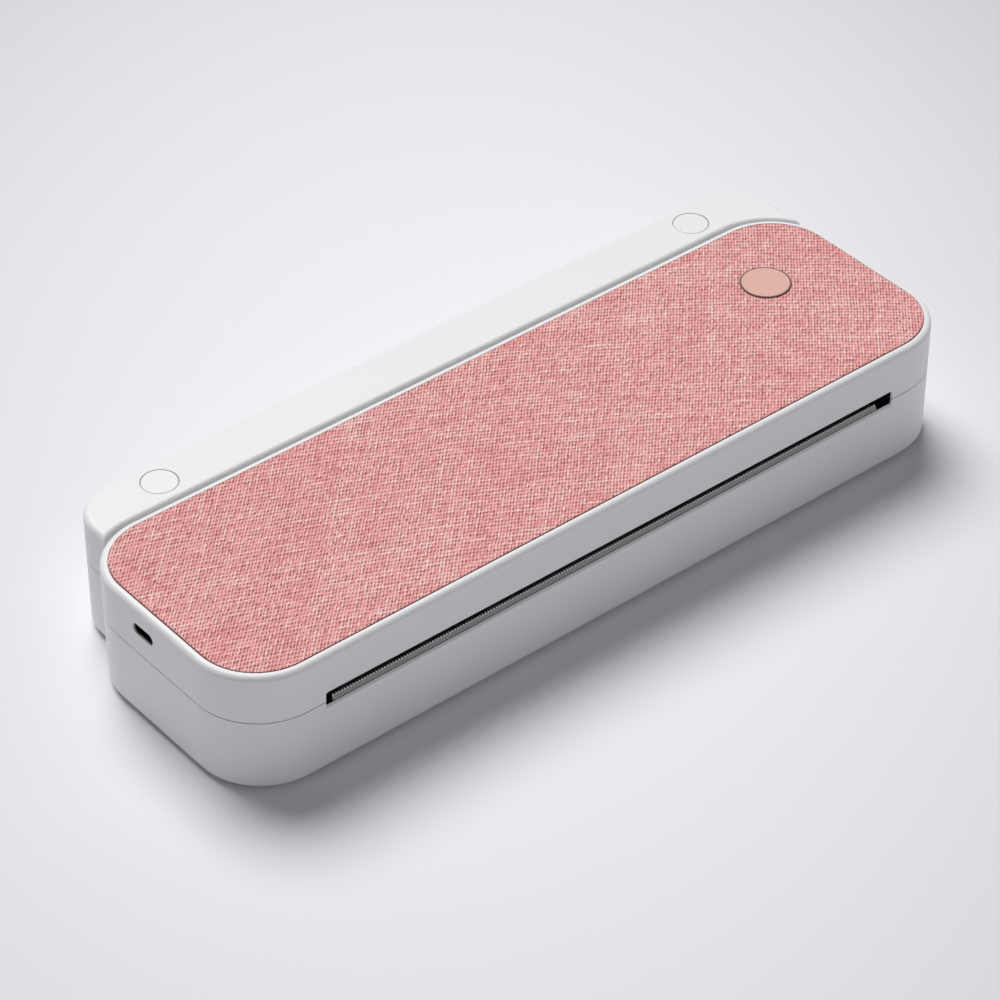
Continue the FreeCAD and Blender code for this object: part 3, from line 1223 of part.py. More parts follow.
def board_chips():
    """Chips and connectors under the board."""
    solids = []
    for index in range(CHIP_COLUMNS):
        size = CHIP_SIZES[index % len(CHIP_SIZES)]
        x = BOARD_LEFT + CHIP_START + index * CHIP_STEP
        solids.append(box(x, x + size, BOARD_MIDDLE - size / 2, BOARD_MIDDLE + size / 2,
                          BOARD_UNDER - CHIP_HEIGHT, BOARD_UNDER))
    return Part.makeCompound(solids)


def usb_c_port():
    """Metal shell of the charging port with its tongue."""
    start = USB_INSET - HALF_LENGTH
    end = start + USB_SHELL_LENGTH
    outer = rounded_through_x(USB_Y - USB_SHELL / 2, USB_Y + USB_SHELL / 2,
                              USB_Z - USB_SHELL_HEIGHT / 2, USB_Z + USB_SHELL_HEIGHT / 2,
                              start, end, USB_SHELL_HEIGHT / 2)
    wide = USB_SHELL / 2 - USB_SHELL_WALL
    high = USB_SHELL_HEIGHT / 2 - USB_SHELL_WALL
    inner = rounded_through_x(USB_Y - wide, USB_Y + wide, USB_Z - high, USB_Z + high,
                              start - CUT, end - CUT, high)
    tongue = box(start + USB_TONGUE_INSET, end - CUT + SEAT_GAP, USB_Y - USB_TONGUE / 2,
                 USB_Y + USB_TONGUE / 2, USB_Z - USB_TONGUE_HEIGHT / 2,
                 USB_Z + USB_TONGUE_HEIGHT / 2)
    return join([outer.cut(inner), tongue])


def power_switch():
    """Push switch on its small board behind the power button."""
    face = SWITCH_X - SWITCH_PLUNGER_GAP
    body_face = face - SWITCH_PLUNGER
    board_face = body_face - SWITCH_HEIGHT
    plunger = rod(SWITCH_PLUNGER_R, body_face - SEAT_GAP, face, BUTTON_Y, USB_Z)
    body = box(board_face, body_face, BUTTON_Y - SWITCH_SIZE / 2, BUTTON_Y + SWITCH_SIZE / 2,
               USB_Z - SWITCH_SIZE / 2, USB_Z + SWITCH_SIZE / 2)
    return join([body, plunger])


def switch_board():
    """Upright board that carries the switch and light, hung from the ceiling."""
    face = SWITCH_X - SWITCH_PLUNGER_GAP - SWITCH_PLUNGER - SWITCH_HEIGHT
    return box(face - SWITCH_BOARD, face, BUTTON_Y - SWITCH_SIZE, BUTTON_Y + SWITCH_BOARD_HALF
               + LIGHT_R, USB_Z - SWITCH_SIZE / 2, CEILING)


def power_button():
    """Round cap with an inner flange."""
    face = HALF_LENGTH - BUTTON_FLUSH
    cap = rod(BUTTON_R, SWITCH_X, face, BUTTON_Y, USB_Z)
    outer = [edge for edge in cap.Edges if edge.BoundBox.XMin > face - SEAT_GAP]
    cap = cap.makeFillet(BUTTON_CROWN_R, outer)
    return join([cap, rod(BUTTON_FLANGE_R, SWITCH_X, SWITCH_X + BUTTON_FLANGE, BUTTON_Y, USB_Z)])


def status_light():
    """Light pipe from the switch board through the end wall."""
    face = SWITCH_X - SWITCH_PLUNGER_GAP - SWITCH_PLUNGER - SWITCH_HEIGHT
    return rod(LIGHT_R, face, HALF_LENGTH - BUTTON_FLUSH, LIGHT_Y, USB_Z)


def holder_block(inset, z0, z1):
    """Holder's plan, drawn in by an inset: straight back, and a front that hugs the body."""
    outer = rounded_block(HOLDER_LEFT + inset, HOLDER_RIGHT - inset,
                          HOLDER_HORN - HOLDER_CORNER_R * 2 + inset, HOLDER_BACK - inset, z0, z1,
                          HOLDER_CORNER_R - inset)
    front = box(HOLDER_LEFT - CUT, HOLDER_RIGHT + CUT, -HALF_DEPTH, HOLDER_HORN + inset, z0 - CUT,
                z1 + CUT)
    return outer.cut(front)


def nose_flare():
    """Cutter that rounds the holder's top edge along the gap to the body."""
    far_x = HALF_LENGTH + HOLDER_GAP + HOLDER_NOSE_R + CUT
    far_y = HOLDER_FRONT + HOLDER_NOSE_R + CUT
    low = HOLDER_TOP - HOLDER_NOSE_R
    plate = box(-far_x, far_x, -far_y, far_y, low - CUT, HOLDER_TOP)
    plate = plate.cut(body_block(-HOLDER_GAP, 0, HOLDER_TOP + CUT))
    edges = [
        edge for edge in plate.Edges
        if edge.BoundBox.ZMin > HOLDER_TOP - SEAT_GAP
        and abs(edge.CenterOfMass.x) < far_x - CUT and abs(edge.CenterOfMass.y) < far_y - CUT
    ]
    plate = plate.makeFillet(HOLDER_NOSE_R, edges)
    return body_block(-HOLDER_GAP - HOLDER_NOSE_R, low, HOLDER_TOP + CUT).cut(plate)


def holder_upper():
    """Upper shell of the roll holder with two button holes."""
    shell = round_level(holder_block(0, COVER_RIM, HOLDER_TOP), HOLDER_TOP, HOLDER_EDGE_R)
    shell = shell.cut(body_block(-HOLDER_GAP, 0, BODY_HEIGHT + CUT)).cut(nose_flare())
    hollow = holder_block(HOLDER_WALL, COVER_RIM - CUT, HOLDER_TOP - HOLDER_WALL)
    hollow = hollow.cut(body_block(-HOLDER_GAP - HOLDER_WALL, 0, BODY_HEIGHT + CUT))
    shell = shell.cut(hollow)
    posts = [post(BOSS_R, x, y, PARTING + SEAT_GAP, HOLDER_TOP - HOLDER_WALL + SEAT_GAP)
             for x, y in holder_screw_places()]
    shell = join([shell] + posts)
    for x in (RELEASE_LEFT_X, RELEASE_RIGHT_X):
        shell = drill(shell, x, RELEASE_Y, HOLDER_TOP - HOLDER_WALL - CUT, HOLDER_TOP + CUT,
                      RELEASE_R + RELEASE_GAP)
    for x, y in holder_screw_places():
        shell = drill(shell, x, y, PARTING - CUT, PARTING + SCREW_LENGTH, SCREW_R + SEAT_GAP)
    return shell


def holder_lower():
    """Lower shell of the roll holder with spring towers and screw posts."""
    shell = round_level(holder_block(0, CASE_BOTTOM, BASE_RIM), CASE_BOTTOM, HOLDER_EDGE_R)
    shell = shell.cut(body_block(-HOLDER_GAP, 0, BODY_HEIGHT))
    hollow = holder_block(HOLDER_WALL, FLOOR_TOP, BASE_RIM + CUT)
    hollow = hollow.cut(body_block(-HOLDER_GAP - HOLDER_WALL, 0, BODY_HEIGHT))
    shell = shell.cut(hollow)
    towers = [post(RELEASE_TOWER_R, x, RELEASE_Y, FLOOR_TOP - SEAT_GAP, TOWER_TOP)
              for x in (RELEASE_LEFT_X, RELEASE_RIGHT_X)]
    posts = [post(BOSS_R, x, y, FLOOR_TOP - SEAT_GAP, PARTING + SEAT_GAP)
             for x, y in holder_screw_places()]
    shell = join([shell] + towers + posts)
    for x in (RELEASE_LEFT_X, RELEASE_RIGHT_X):
        shell = drill(shell, x, RELEASE_Y, FLOOR_TOP, TOWER_TOP + CUT, RELEASE_STEM_R + RUN_GAP)
    for side in sides():
        x0, x1 = span(side, SLIDE_X - SLIDE_WIDTH / 2, SLIDE_X + SLIDE_WIDTH / 2)
        shell = shell.cut(box(x0, x1, HALF_DEPTH, HOLDER_FRONT + HOLDER_WALL + CUT, SLIDE_LOW,
                              SLIDE_HIGH))
    for x, y in holder_screw_places():
        shell = drill(shell, x, y, CASE_BOTTOM - CUT, PARTING + CUT, SCREW_R + SEAT_GAP)
        shell = drill(shell, x, y, CASE_BOTTOM - CUT, CASE_BOTTOM + SCREW_HEAD, SCREW_HEAD_R
                      + SEAT_GAP)
    for x, y in holder_foot_places():
        shell = drill(shell, x, y, CASE_BOTTOM - CUT, CASE_BOTTOM + FOOT_SINK, HOLDER_FOOT_R
                      + SEAT_GAP)
    return shell


def holder_arms():
    """Two flat arms that slide in the base's channels, footed in the holder."""
    solids = []
    back = HOLDER_BACK - HOLDER_WALL - RUN_GAP
    for side in sides():
        x0, x1 = span(side, SLIDE_X - SLIDE_WIDTH / 2, SLIDE_X + SLIDE_WIDTH / 2)
        arm = rounded_through_y(x0, x1, SLIDE_LOW, SLIDE_HIGH, SLIDE_FRONT + CUT, back,
                                SLIDE_EDGE_R)
        foot = box(x0, x1, HOLDER_FRONT + HOLDER_WALL, back, FLOOR_TOP, SLIDE_LOW + SLIDE_EDGE_R)
        solids.append(join([arm, foot]))
    return Part.makeCompound(solids)


def holder_screws():
    """Long screws that close the holder from below."""
    seat = CASE_BOTTOM + SCREW_HEAD
    return Part.makeCompound([
        screw(x, y, seat, False, SCREW_HEAD_R, SCREW_HEAD - SEAT_GAP, SCREW_R,
              PARTING - seat + SCREW_LENGTH / 2) for x, y in holder_screw_places()])


def holder_feet():
    """Rubber feet under the roll holder."""
    return Part.makeCompound([post(HOLDER_FOOT_R, x, y, 0, CASE_BOTTOM + FOOT_SINK)
                              for x, y in holder_foot_places()])


def release_button(x):
    """Round button with a flange under the shell and a long stem."""
    cap = post(RELEASE_R, x, RELEASE_Y, RELEASE_FLANGE_LOW, HOLDER_TOP)
    cap = round_level(cap, HOLDER_TOP, RELEASE_CAP_R)
    flange = post(RELEASE_FLANGE_R, x, RELEASE_Y, RELEASE_FLANGE_LOW, RELEASE_FLANGE_TOP)
    stem = post(RELEASE_STEM_R, x, RELEASE_Y, FLOOR_TOP + RELEASE_TRAVEL + RELEASE_STEM_CLEAR,
                RELEASE_FLANGE_LOW + SEAT_GAP)
    return join([cap, flange, stem])


def release_spring(x):
    """Spring between tower and flange."""
    return coil(x, RELEASE_Y, TOWER_TOP, RELEASE_FLANGE_LOW, RELEASE_SPRING_R,
                RELEASE_SPRING_WIRE)


def write(name, shape):
    """Move a piece to the object's frame and write it."""
    shape = shape.copy()
    shape.translate(V(0, BODY_BACK, 0))
    shape.exportStep("parts/" + name + ".step")
    print(name, len(shape.Solids), "solids", round(shape.Volume, 2), shape.isValid())


def build():
    """Make and write every piece."""
    os.makedirs("parts", exist_ok=True)
    makers = (lower_case, base_feet, tear_bar, tear_bar_screws, print_frame, frame_screws,
              platen_bushes, idler_pin, motor, motor_screws, lower_paper_guide, guide_screws,
              paper_sensor, battery_cells, battery_cradle, slide_channels, hinge_tracks,
              platen_shaft, platen_roller, platen_gear, idler_gear, motor_pinion,
              upper_case, top_panel, fabric_cover, round_patch, hinge_arms, hinge_pins,
              head_bracket, head_pivot_pins, cover_screws, upper_paper_guide, upper_guide_screws,
              main_board, board_screws, board_chips, usb_c_port, power_switch, switch_board,
              status_light, head_springs, print_head, head_heatsink, power_button,
              holder_upper, holder_lower, holder_arms, holder_screws, holder_feet)
    for maker in makers:
        write(maker.__name__, maker())
    for name, x in (("left", RELEASE_LEFT_X), ("right", RELEASE_RIGHT_X)):
        write(name + "_release_button", release_button(x))
        write(name + "_release_spring", release_spring(x))


build()
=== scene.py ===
"""Looks of a portable thermal printer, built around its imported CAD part.

Lengths are in metres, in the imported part's frame. The printer lies on the floor with its
paper slot towards -Y and its charging port at -X.
"""

from __future__ import annotations

import json
import logging
import math
from dataclasses import dataclass, field, replace
from enum import Enum
from typing import Any, Sequence

import bpy
from mathutils import Euler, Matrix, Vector

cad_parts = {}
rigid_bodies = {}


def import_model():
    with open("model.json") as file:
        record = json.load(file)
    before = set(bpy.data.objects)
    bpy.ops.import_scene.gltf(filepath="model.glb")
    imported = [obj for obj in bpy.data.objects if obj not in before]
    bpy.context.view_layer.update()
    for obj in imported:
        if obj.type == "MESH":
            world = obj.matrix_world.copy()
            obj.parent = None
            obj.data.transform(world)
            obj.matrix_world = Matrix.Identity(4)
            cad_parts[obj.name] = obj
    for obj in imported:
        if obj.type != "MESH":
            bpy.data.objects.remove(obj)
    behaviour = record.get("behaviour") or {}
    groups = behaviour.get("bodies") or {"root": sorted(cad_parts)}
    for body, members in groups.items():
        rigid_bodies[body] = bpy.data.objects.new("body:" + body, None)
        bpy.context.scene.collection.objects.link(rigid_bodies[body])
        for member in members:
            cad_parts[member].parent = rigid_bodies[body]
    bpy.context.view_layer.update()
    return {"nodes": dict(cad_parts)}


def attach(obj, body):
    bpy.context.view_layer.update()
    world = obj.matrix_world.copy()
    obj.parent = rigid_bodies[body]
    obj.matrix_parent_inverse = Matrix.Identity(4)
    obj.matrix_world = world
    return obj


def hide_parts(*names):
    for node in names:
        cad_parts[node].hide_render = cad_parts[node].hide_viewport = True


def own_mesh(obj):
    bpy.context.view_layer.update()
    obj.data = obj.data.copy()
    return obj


for leftover in list(bpy.data.objects):
    bpy.data.objects.remove(leftover)

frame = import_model()

logging.basicConfig(level=logging.INFO, format="%(message)s")
log = logging.getLogger("printer")

Colour = tuple[float, float, float]
Point = tuple[float, float, float]
Span = tuple[float, float]
Socket = bpy.types.NodeSocket

MM = 0.001
# Length of one band of a wave texture at scale 1
BAND = 0.31416
# Range that holds most values of a noise texture
NOISE_SPAN: Span = (0.3, 0.7)
# Level direction from the printer towards the camera
NEAR_SIDE: Point = (-0.636, -0.771, 0.0)


class Lay(Enum):
    """Direction in which a metal was brushed or rolled."""

    ALONG_X = (8.0, 260.0, 260.0)
    ALONG_Y = (260.0, 8.0, 260.0)
    TURNED = (900.0, 30.0, 30.0)


class Side(Enum):
    """Left or right end of the printer."""

    LEFT = -1
    RIGHT = 1


@dataclass(frozen=True)
class Grain:
    """Noise texture: its scale, detail and roughness."""

    scale: float
    detail: float = 2.0
    rough: float = 0.5


class Tree:
    """Short way to write a node tree."""

    def __init__(self, tree: bpy.types.NodeTree) -> None:
        """Start with a tree that has no nodes."""
        self.tree = tree
        tree.nodes.clear()

    def node(self, kind: str, sockets: dict[str | int, Any] | None = None,
             **settings: Any) -> bpy.types.Node:
        """Add a node.

        Args:
            kind: the node's type name.
            sockets: value or source socket for each input.
            settings: properties of the node.

        Returns:
            The node.
        """
        made = self.tree.nodes.new(kind)
        for key, value in settings.items():
            setattr(made, key, value)
        for key, value in (sockets or {}).items():
            self.feed(made.inputs[key], value)
        return made

    def feed(self, socket: Socket, value: Any) -> None:
        """Link a source to an input, or set its value."""
        if isinstance(value, Socket):
            self.tree.links.new(value, socket)
        elif isinstance(value, tuple) and len(value) == 3 and socket.type == "RGBA":
            socket.default_value = (*value, 1.0)
        else:
            socket.default_value = value


class Wiring(Tree):
    """Short way to write a shader's nodes."""

    def __init__(self, name: str) -> None:
        """Start an empty material with one principled shader.

        Args:
            name: the material's name.
        """
        self.material = bpy.data.materials.new(name)
        self.material.use_nodes = True
        super().__init__(self.material.node_tree)
        self.shader = self.node("ShaderNodeBsdfPrincipled")
        self.node("ShaderNodeOutputMaterial", {"Surface": self.shader.outputs[0]})
        source = self.node("ShaderNodeTexCoord")
        self.place = source.outputs["Object"]
        self.direction = source.outputs["Normal"]

    def maths(self, operation: str, *values: Any) -> Socket:
        """Result of one Math node."""
        return self.node("ShaderNodeMath", dict(enumerate(values)), operation=operation).outputs[0]

    def plus(self, first: Any, second: Any) -> Socket:
        """Sum of two values."""
        return self.maths("ADD", first, second)

    def minus(self, first: Any, second: Any) -> Socket:
        """First value less the second."""
        return self.maths("SUBTRACT", first, second)

    def times(self, first: Any, second: Any) -> Socket:
        """Product of two values."""
        return self.maths("MULTIPLY", first, second)

    def weighed(self, first: Any, second: Any, share: float) -> Socket:
        """Sum of a share of one value and the rest of another."""
        return self.plus(self.times(first, share), self.times(second, 1 - share))

    def vector(self, operation: str, *values: Any) -> bpy.types.bpy_prop_collection:
        """Outputs of one Vector Math node: a vector and a value."""
        return self.node("ShaderNodeVectorMath", dict(enumerate(values)), operation=operation).outputs

    def parts(self, place: Any) -> bpy.types.bpy_prop_collection:
        """X, Y and Z of a place."""
        return self.node("ShaderNodeSeparateXYZ", {0: place}).outputs

    def joined(self, *values: Any) -> Socket:
        """Place with the given X, Y and Z."""
        return self.node("ShaderNodeCombineXYZ", dict(enumerate(values))).outputs[0]

    def noise(self, grain: Grain, place: Any = None) -> Socket:
        """Value of a noise texture, at the object's coordinates unless a place is given."""
        return self.node("ShaderNodeTexNoise", {
            "Vector": self.place if place is None else place,
            "Scale": grain.scale, "Detail": grain.detail, "Roughness": grain.rough,
        }).outputs[0]

    def bands(self, scale: float, axis: str) -> Socket:
        """Even bands across an axis."""
        return self.node("ShaderNodeTexWave", {
            "Vector": self.place, "Scale": scale,
        }, bands_direction=axis).outputs[1]

    def stretched(self, scales: Point) -> Socket:
        """Object coordinates scaled along each axis."""
        return self.node("ShaderNodeMapping", {"Vector": self.place, "Scale": scales}).outputs[0]

    def spread(self, value: Any, onto: Span = (0.0, 1.0), given: Span = (0.0, 1.0)) -> Socket:
        """Value moved from a given range onto another, held at its ends."""
        return self.node("ShaderNodeMapRange", {
            "Value": value, "From Min": given[0], "From Max": given[1], "To Min": onto[0], "To Max": onto[1],
        }).outputs[0]

    def blend(self, share: Any, first: Any, second: Any) -> Socket:
        """Colour between two colours."""
        return self.node("ShaderNodeMix", {0: share, 6: first, 7: second}, data_type="RGBA").outputs[2]

    def tinted(self, share: Any, colour: Colour, tones: Span) -> Socket:
        """Colour that goes from one tone of itself to another."""
        return self.blend(share, shade(colour, tones[0]), shade(colour, tones[1]))

    def inside(self, low: Point, high: Point) -> Socket:
        """1 inside a box and 0 outside it."""
        parts = self.parts(self.place)
        within: Any = 1.0
        for axis in range(3):
            middle, half = (low[axis] + high[axis]) / 2, (high[axis] - low[axis]) / 2
            within = self.times(within, self.maths("COMPARE", parts[axis], middle, half))
        return within

    def relief(self, height: Any, distance: float, strength: float = 1.0) -> None:
        """Send a height to the shader as a bump."""
        bump = self.node("ShaderNodeBump", {"Strength": strength, "Distance": distance, "Height": height})
        self.set(Normal=bump.outputs[0])

    def set(self, **values: Any) -> None:
        """Set the shader's own inputs, with _ for a space in their names."""
        for key, value in values.items():
            self.feed(self.shader.inputs[key.replace("_", " ")], value)


def shade(colour: Colour, share: float) -> Colour:
    """Colour made lighter or darker by a share."""
    return tuple(max(0.0, part * share) for part in colour)


def around(middle: float, swing: Span) -> Span:
    """Range that swings below and above a middle value."""
    return middle + swing[0], middle + swing[1]


@dataclass(frozen=True)
class Finish:
    """What a piece is made of."""

    name: str

    def material(self) -> bpy.types.Material:
        """Return a new material."""
        tree = Wiring(self.name)
        self.wire(tree)
        return tree.material

    def wire(self, tree: Wiring) -> None:
        """Write the material's nodes."""
        raise NotImplementedError


@dataclass(frozen=True)
class Moulded(Finish):
    """Moulded plastic with a fine spark-eroded grain, and dull near-black painted shade in some boxes."""

    colour: Colour
    rough: float = 0.42
    grain: float = 0.004 * MM
    grain_scale: float = 5200.0
    specular: float = 0.5
    # boxes that get painted shade: a near-black, duller colour standing in for the shadow deep inside a
    # recess
    painted: tuple[tuple[Point, Point], ...] = ()
    painted_shade_colour: Colour = (0.006, 0.006, 0.006)
    painted_shade_dulls: float = 0.8
    grain_detail: float = 3.0
    grain_rough: float = 0.6
    cloud: Grain = Grain(14.0, 3.0)
    smear: Grain = Grain(60.0, 4.0)
    tones: Span = (0.985, 1.01)
    rough_swing: Span = (-0.05, 0.05)

    def wire(self, tree: Wiring) -> None:
        """Write the plastic's nodes."""
        tone = tree.tinted(tree.noise(self.cloud), self.colour, self.tones)
        shine: Any = self.specular
        # painted shade in each box: near-black colour and less shine
        for low, high in self.painted:
            within = tree.inside(low, high)
            tone = tree.blend(within, tone, self.painted_shade_colour)
            shine = tree.minus(shine, tree.times(within, self.specular * self.painted_shade_dulls))
        tree.set(
            Base_Color=tone,
            Roughness=tree.spread(tree.noise(self.smear), around(self.rough, self.rough_swing)),
            Specular_IOR_Level=shine,
        )
        pores = Grain(self.grain_scale, self.grain_detail, self.grain_rough)
        tree.relief(tree.noise(pores), self.grain)


@dataclass(frozen=True)
class Brushed(Finish):
    """Metal with the fine lines of brushing, rolling or turning."""

    colour: Colour
    lay: Lay = Lay.ALONG_X
    rough: float = 0.32
    lines: float = 0.004 * MM
    streak: Grain = Grain(9.0, 4.0, 0.65)
    stain: Grain = Grain(45.0, 3.0)
    streak_share: float = 0.7
    tones: Span = (0.82, 1.12)
    rough_swing: Span = (-0.09, 0.12)

    def wire(self, tree: Wiring) -> None:
        """Write the metal's nodes."""
        streak = tree.noise(self.streak, tree.stretched(self.lay.value))
        tone = tree.weighed(streak, tree.noise(self.stain), self.streak_share)
        tree.set(
            Base_Color=tree.tinted(tone, self.colour, self.tones),
            Metallic=1.0,
            Roughness=tree.spread(streak, around(self.rough, self.rough_swing), NOISE_SPAN),
        )
        tree.relief(streak, self.lines)


@dataclass(frozen=True)
class Serrated(Finish):
    """Dark steel strip ground across its length, with bright tooth tips."""

    colour: Colour
    tip: Colour
    tip_low: float
    tip_high: float
    pitch: float
    streak: Grain = Grain(3.0, 3.0, 0.6)
    streak_scales: Point = (700.0, 20.0, 20.0)
    streak_share: float = 0.85
    tones: Span = (0.7, 1.35)
    rough: Span = (0.36, 0.55)
    lines: float = 0.004 * MM

    def wire(self, tree: Wiring) -> None:
        """Write the strip's nodes."""
        streak = tree.noise(self.streak, tree.stretched(self.streak_scales))
        rib = tree.bands(BAND / self.pitch, "X")
        # colour turns lighter towards the tooth tips, by height
        tip_share = tree.spread(tree.parts(tree.place)[2], given=(self.tip_low, self.tip_high))
        tone = tree.tinted(tree.weighed(streak, rib, self.streak_share), self.colour, self.tones)
        tree.set(
            Base_Color=tree.blend(tip_share, tone, self.tip),
            Metallic=1.0,
            Roughness=tree.spread(streak, self.rough, NOISE_SPAN),
        )
        tree.relief(streak, self.lines)


@dataclass(frozen=True)
class Rubbery(Finish):
    """Matt rubber with a slightly dusty surface."""

    colour: Colour
    rough: float = 0.78
    grain: float = 0.01 * MM
    dust: Grain = Grain(400.0, 5.0, 0.65)
    pores: Grain = Grain(3500.0, 3.0, 0.6)
    dust_span: Span = (0.45, 0.8)
    tones: Span = (1.0, 1.7)
    rough_swing: Span = (-0.08, 0.12)

    def wire(self, tree: Wiring) -> None:
        """Write the rubber's nodes."""
        dust = tree.noise(self.dust)
        dusty = tree.spread(dust, given=self.dust_span)
        tree.set(
            Base_Color=tree.tinted(dusty, self.colour, self.tones),
            Roughness=tree.spread(dust, around(self.rough, self.rough_swing)),
            Specular_IOR_Level=0.35,
        )
        tree.relief(tree.noise(self.pores), self.grain)


@dataclass(frozen=True)
class Lacquered(Finish):
    """Circuit board under solder lacquer, with its tracks raised below it."""

    lacquer: Colour = (0.018, 0.13, 0.062)
    track: Colour = (0.04, 0.24, 0.11)
    pitch: float = 0.9 * MM
    cell_share: float = 0.16
    pick_span: Span = (0.48, 0.52)
    track_span: Span = (0.45, 0.6)
    smear: Grain = Grain(300.0)
    rough: Span = (0.18, 0.32)
    track_height: float = 0.03 * MM

    def wire(self, tree: Wiring) -> None:
        """Write the board's nodes."""
        cells = tree.node("ShaderNodeTexVoronoi", {
            "Vector": tree.place, "Scale": self.cell_share / self.pitch,
        }, distance="CHEBYCHEV")
        rows, columns = (tree.bands(0.5 / self.pitch / math.pi, axis) for axis in "YX")
        pick = tree.spread(cells.outputs["Color"], given=self.pick_span)
        lines = tree.node("ShaderNodeMix", {0: pick, 2: rows, 3: columns}).outputs[0]
        raised = tree.spread(lines, given=self.track_span)
        tree.set(
            Base_Color=tree.blend(raised, self.lacquer, self.track),
            Roughness=tree.spread(tree.noise(self.smear), self.rough),
            Coat_Weight=0.4,
            Coat_Roughness=0.12,
        )
        tree.relief(raised, self.track_height)


@dataclass(frozen=True)
class Wrapped(Finish):
    """Battery cell in a shrink sleeve with faint lengthways tension lines."""

    colour: Colour
    crease: Grain = Grain(2.0, 4.0, 0.6)
    crease_scales: Point = (20.0, 380.0, 380.0)
    tones: Span = (0.88, 1.08)
    rough: Span = (0.2, 0.36)
    crease_height: float = 0.05 * MM
    crease_strength: float = 0.6

    def wire(self, tree: Wiring) -> None:
        """Write the sleeve's nodes."""
        crease = tree.noise(self.crease, tree.stretched(self.crease_scales))
        tree.set(
            Base_Color=tree.tinted(crease, self.colour, self.tones),
            Roughness=tree.spread(crease, self.rough),
            Coat_Weight=0.3,
            Coat_Roughness=0.1,
        )
        tree.relief(crease, self.crease_height, self.crease_strength)


@dataclass(frozen=True)
class Glazed(Finish):
    """Ceramic heater board with its glaze bead and the comb of printed conductors."""

    ceramic: Colour
    conductor: Colour = (0.62, 0.5, 0.26)
    glaze: Colour = (0.09, 0.07, 0.06)
    bead_y: float = -37.7 * MM
    bead_half: float = 0.5 * MM
    crest_share: float = 0.6
    bead_height: float = 0.05 * MM
    comb_scale: float = 650.0
    comb_span: Span = (0.4, 0.6)
    ink_cover: float = 0.8
    ink_metal: float = 0.6
    ink_height: float = 0.3
    rough: Span = (0.34, 0.1)

    def wire(self, tree: Wiring) -> None:
        """Write the heater board's nodes."""
        off = tree.maths("ABSOLUTE", tree.minus(tree.parts(tree.place)[1], self.bead_y))
        bead = tree.spread(off, (1.0, 0.0), (self.bead_half * self.crest_share, self.bead_half))
        comb = tree.spread(tree.bands(self.comb_scale, "X"), given=self.comb_span)
        printed = tree.times(comb, tree.minus(1.0, bead))
        board = tree.blend(tree.times(printed, self.ink_cover), self.ceramic, self.conductor)
        tree.set(
            Base_Color=tree.blend(bead, board, self.glaze),
            Roughness=tree.spread(bead, self.rough),
            Metallic=tree.times(printed, self.ink_metal),
        )
        tree.relief(tree.plus(bead, tree.times(printed, self.ink_height)), self.bead_height)


@dataclass(frozen=True)
class Threads:
    """One set of yarns: spacing, angle, how it swings along the length, and its random seed."""

    pitch: float
    angle: float
    bow: float
    seed: float


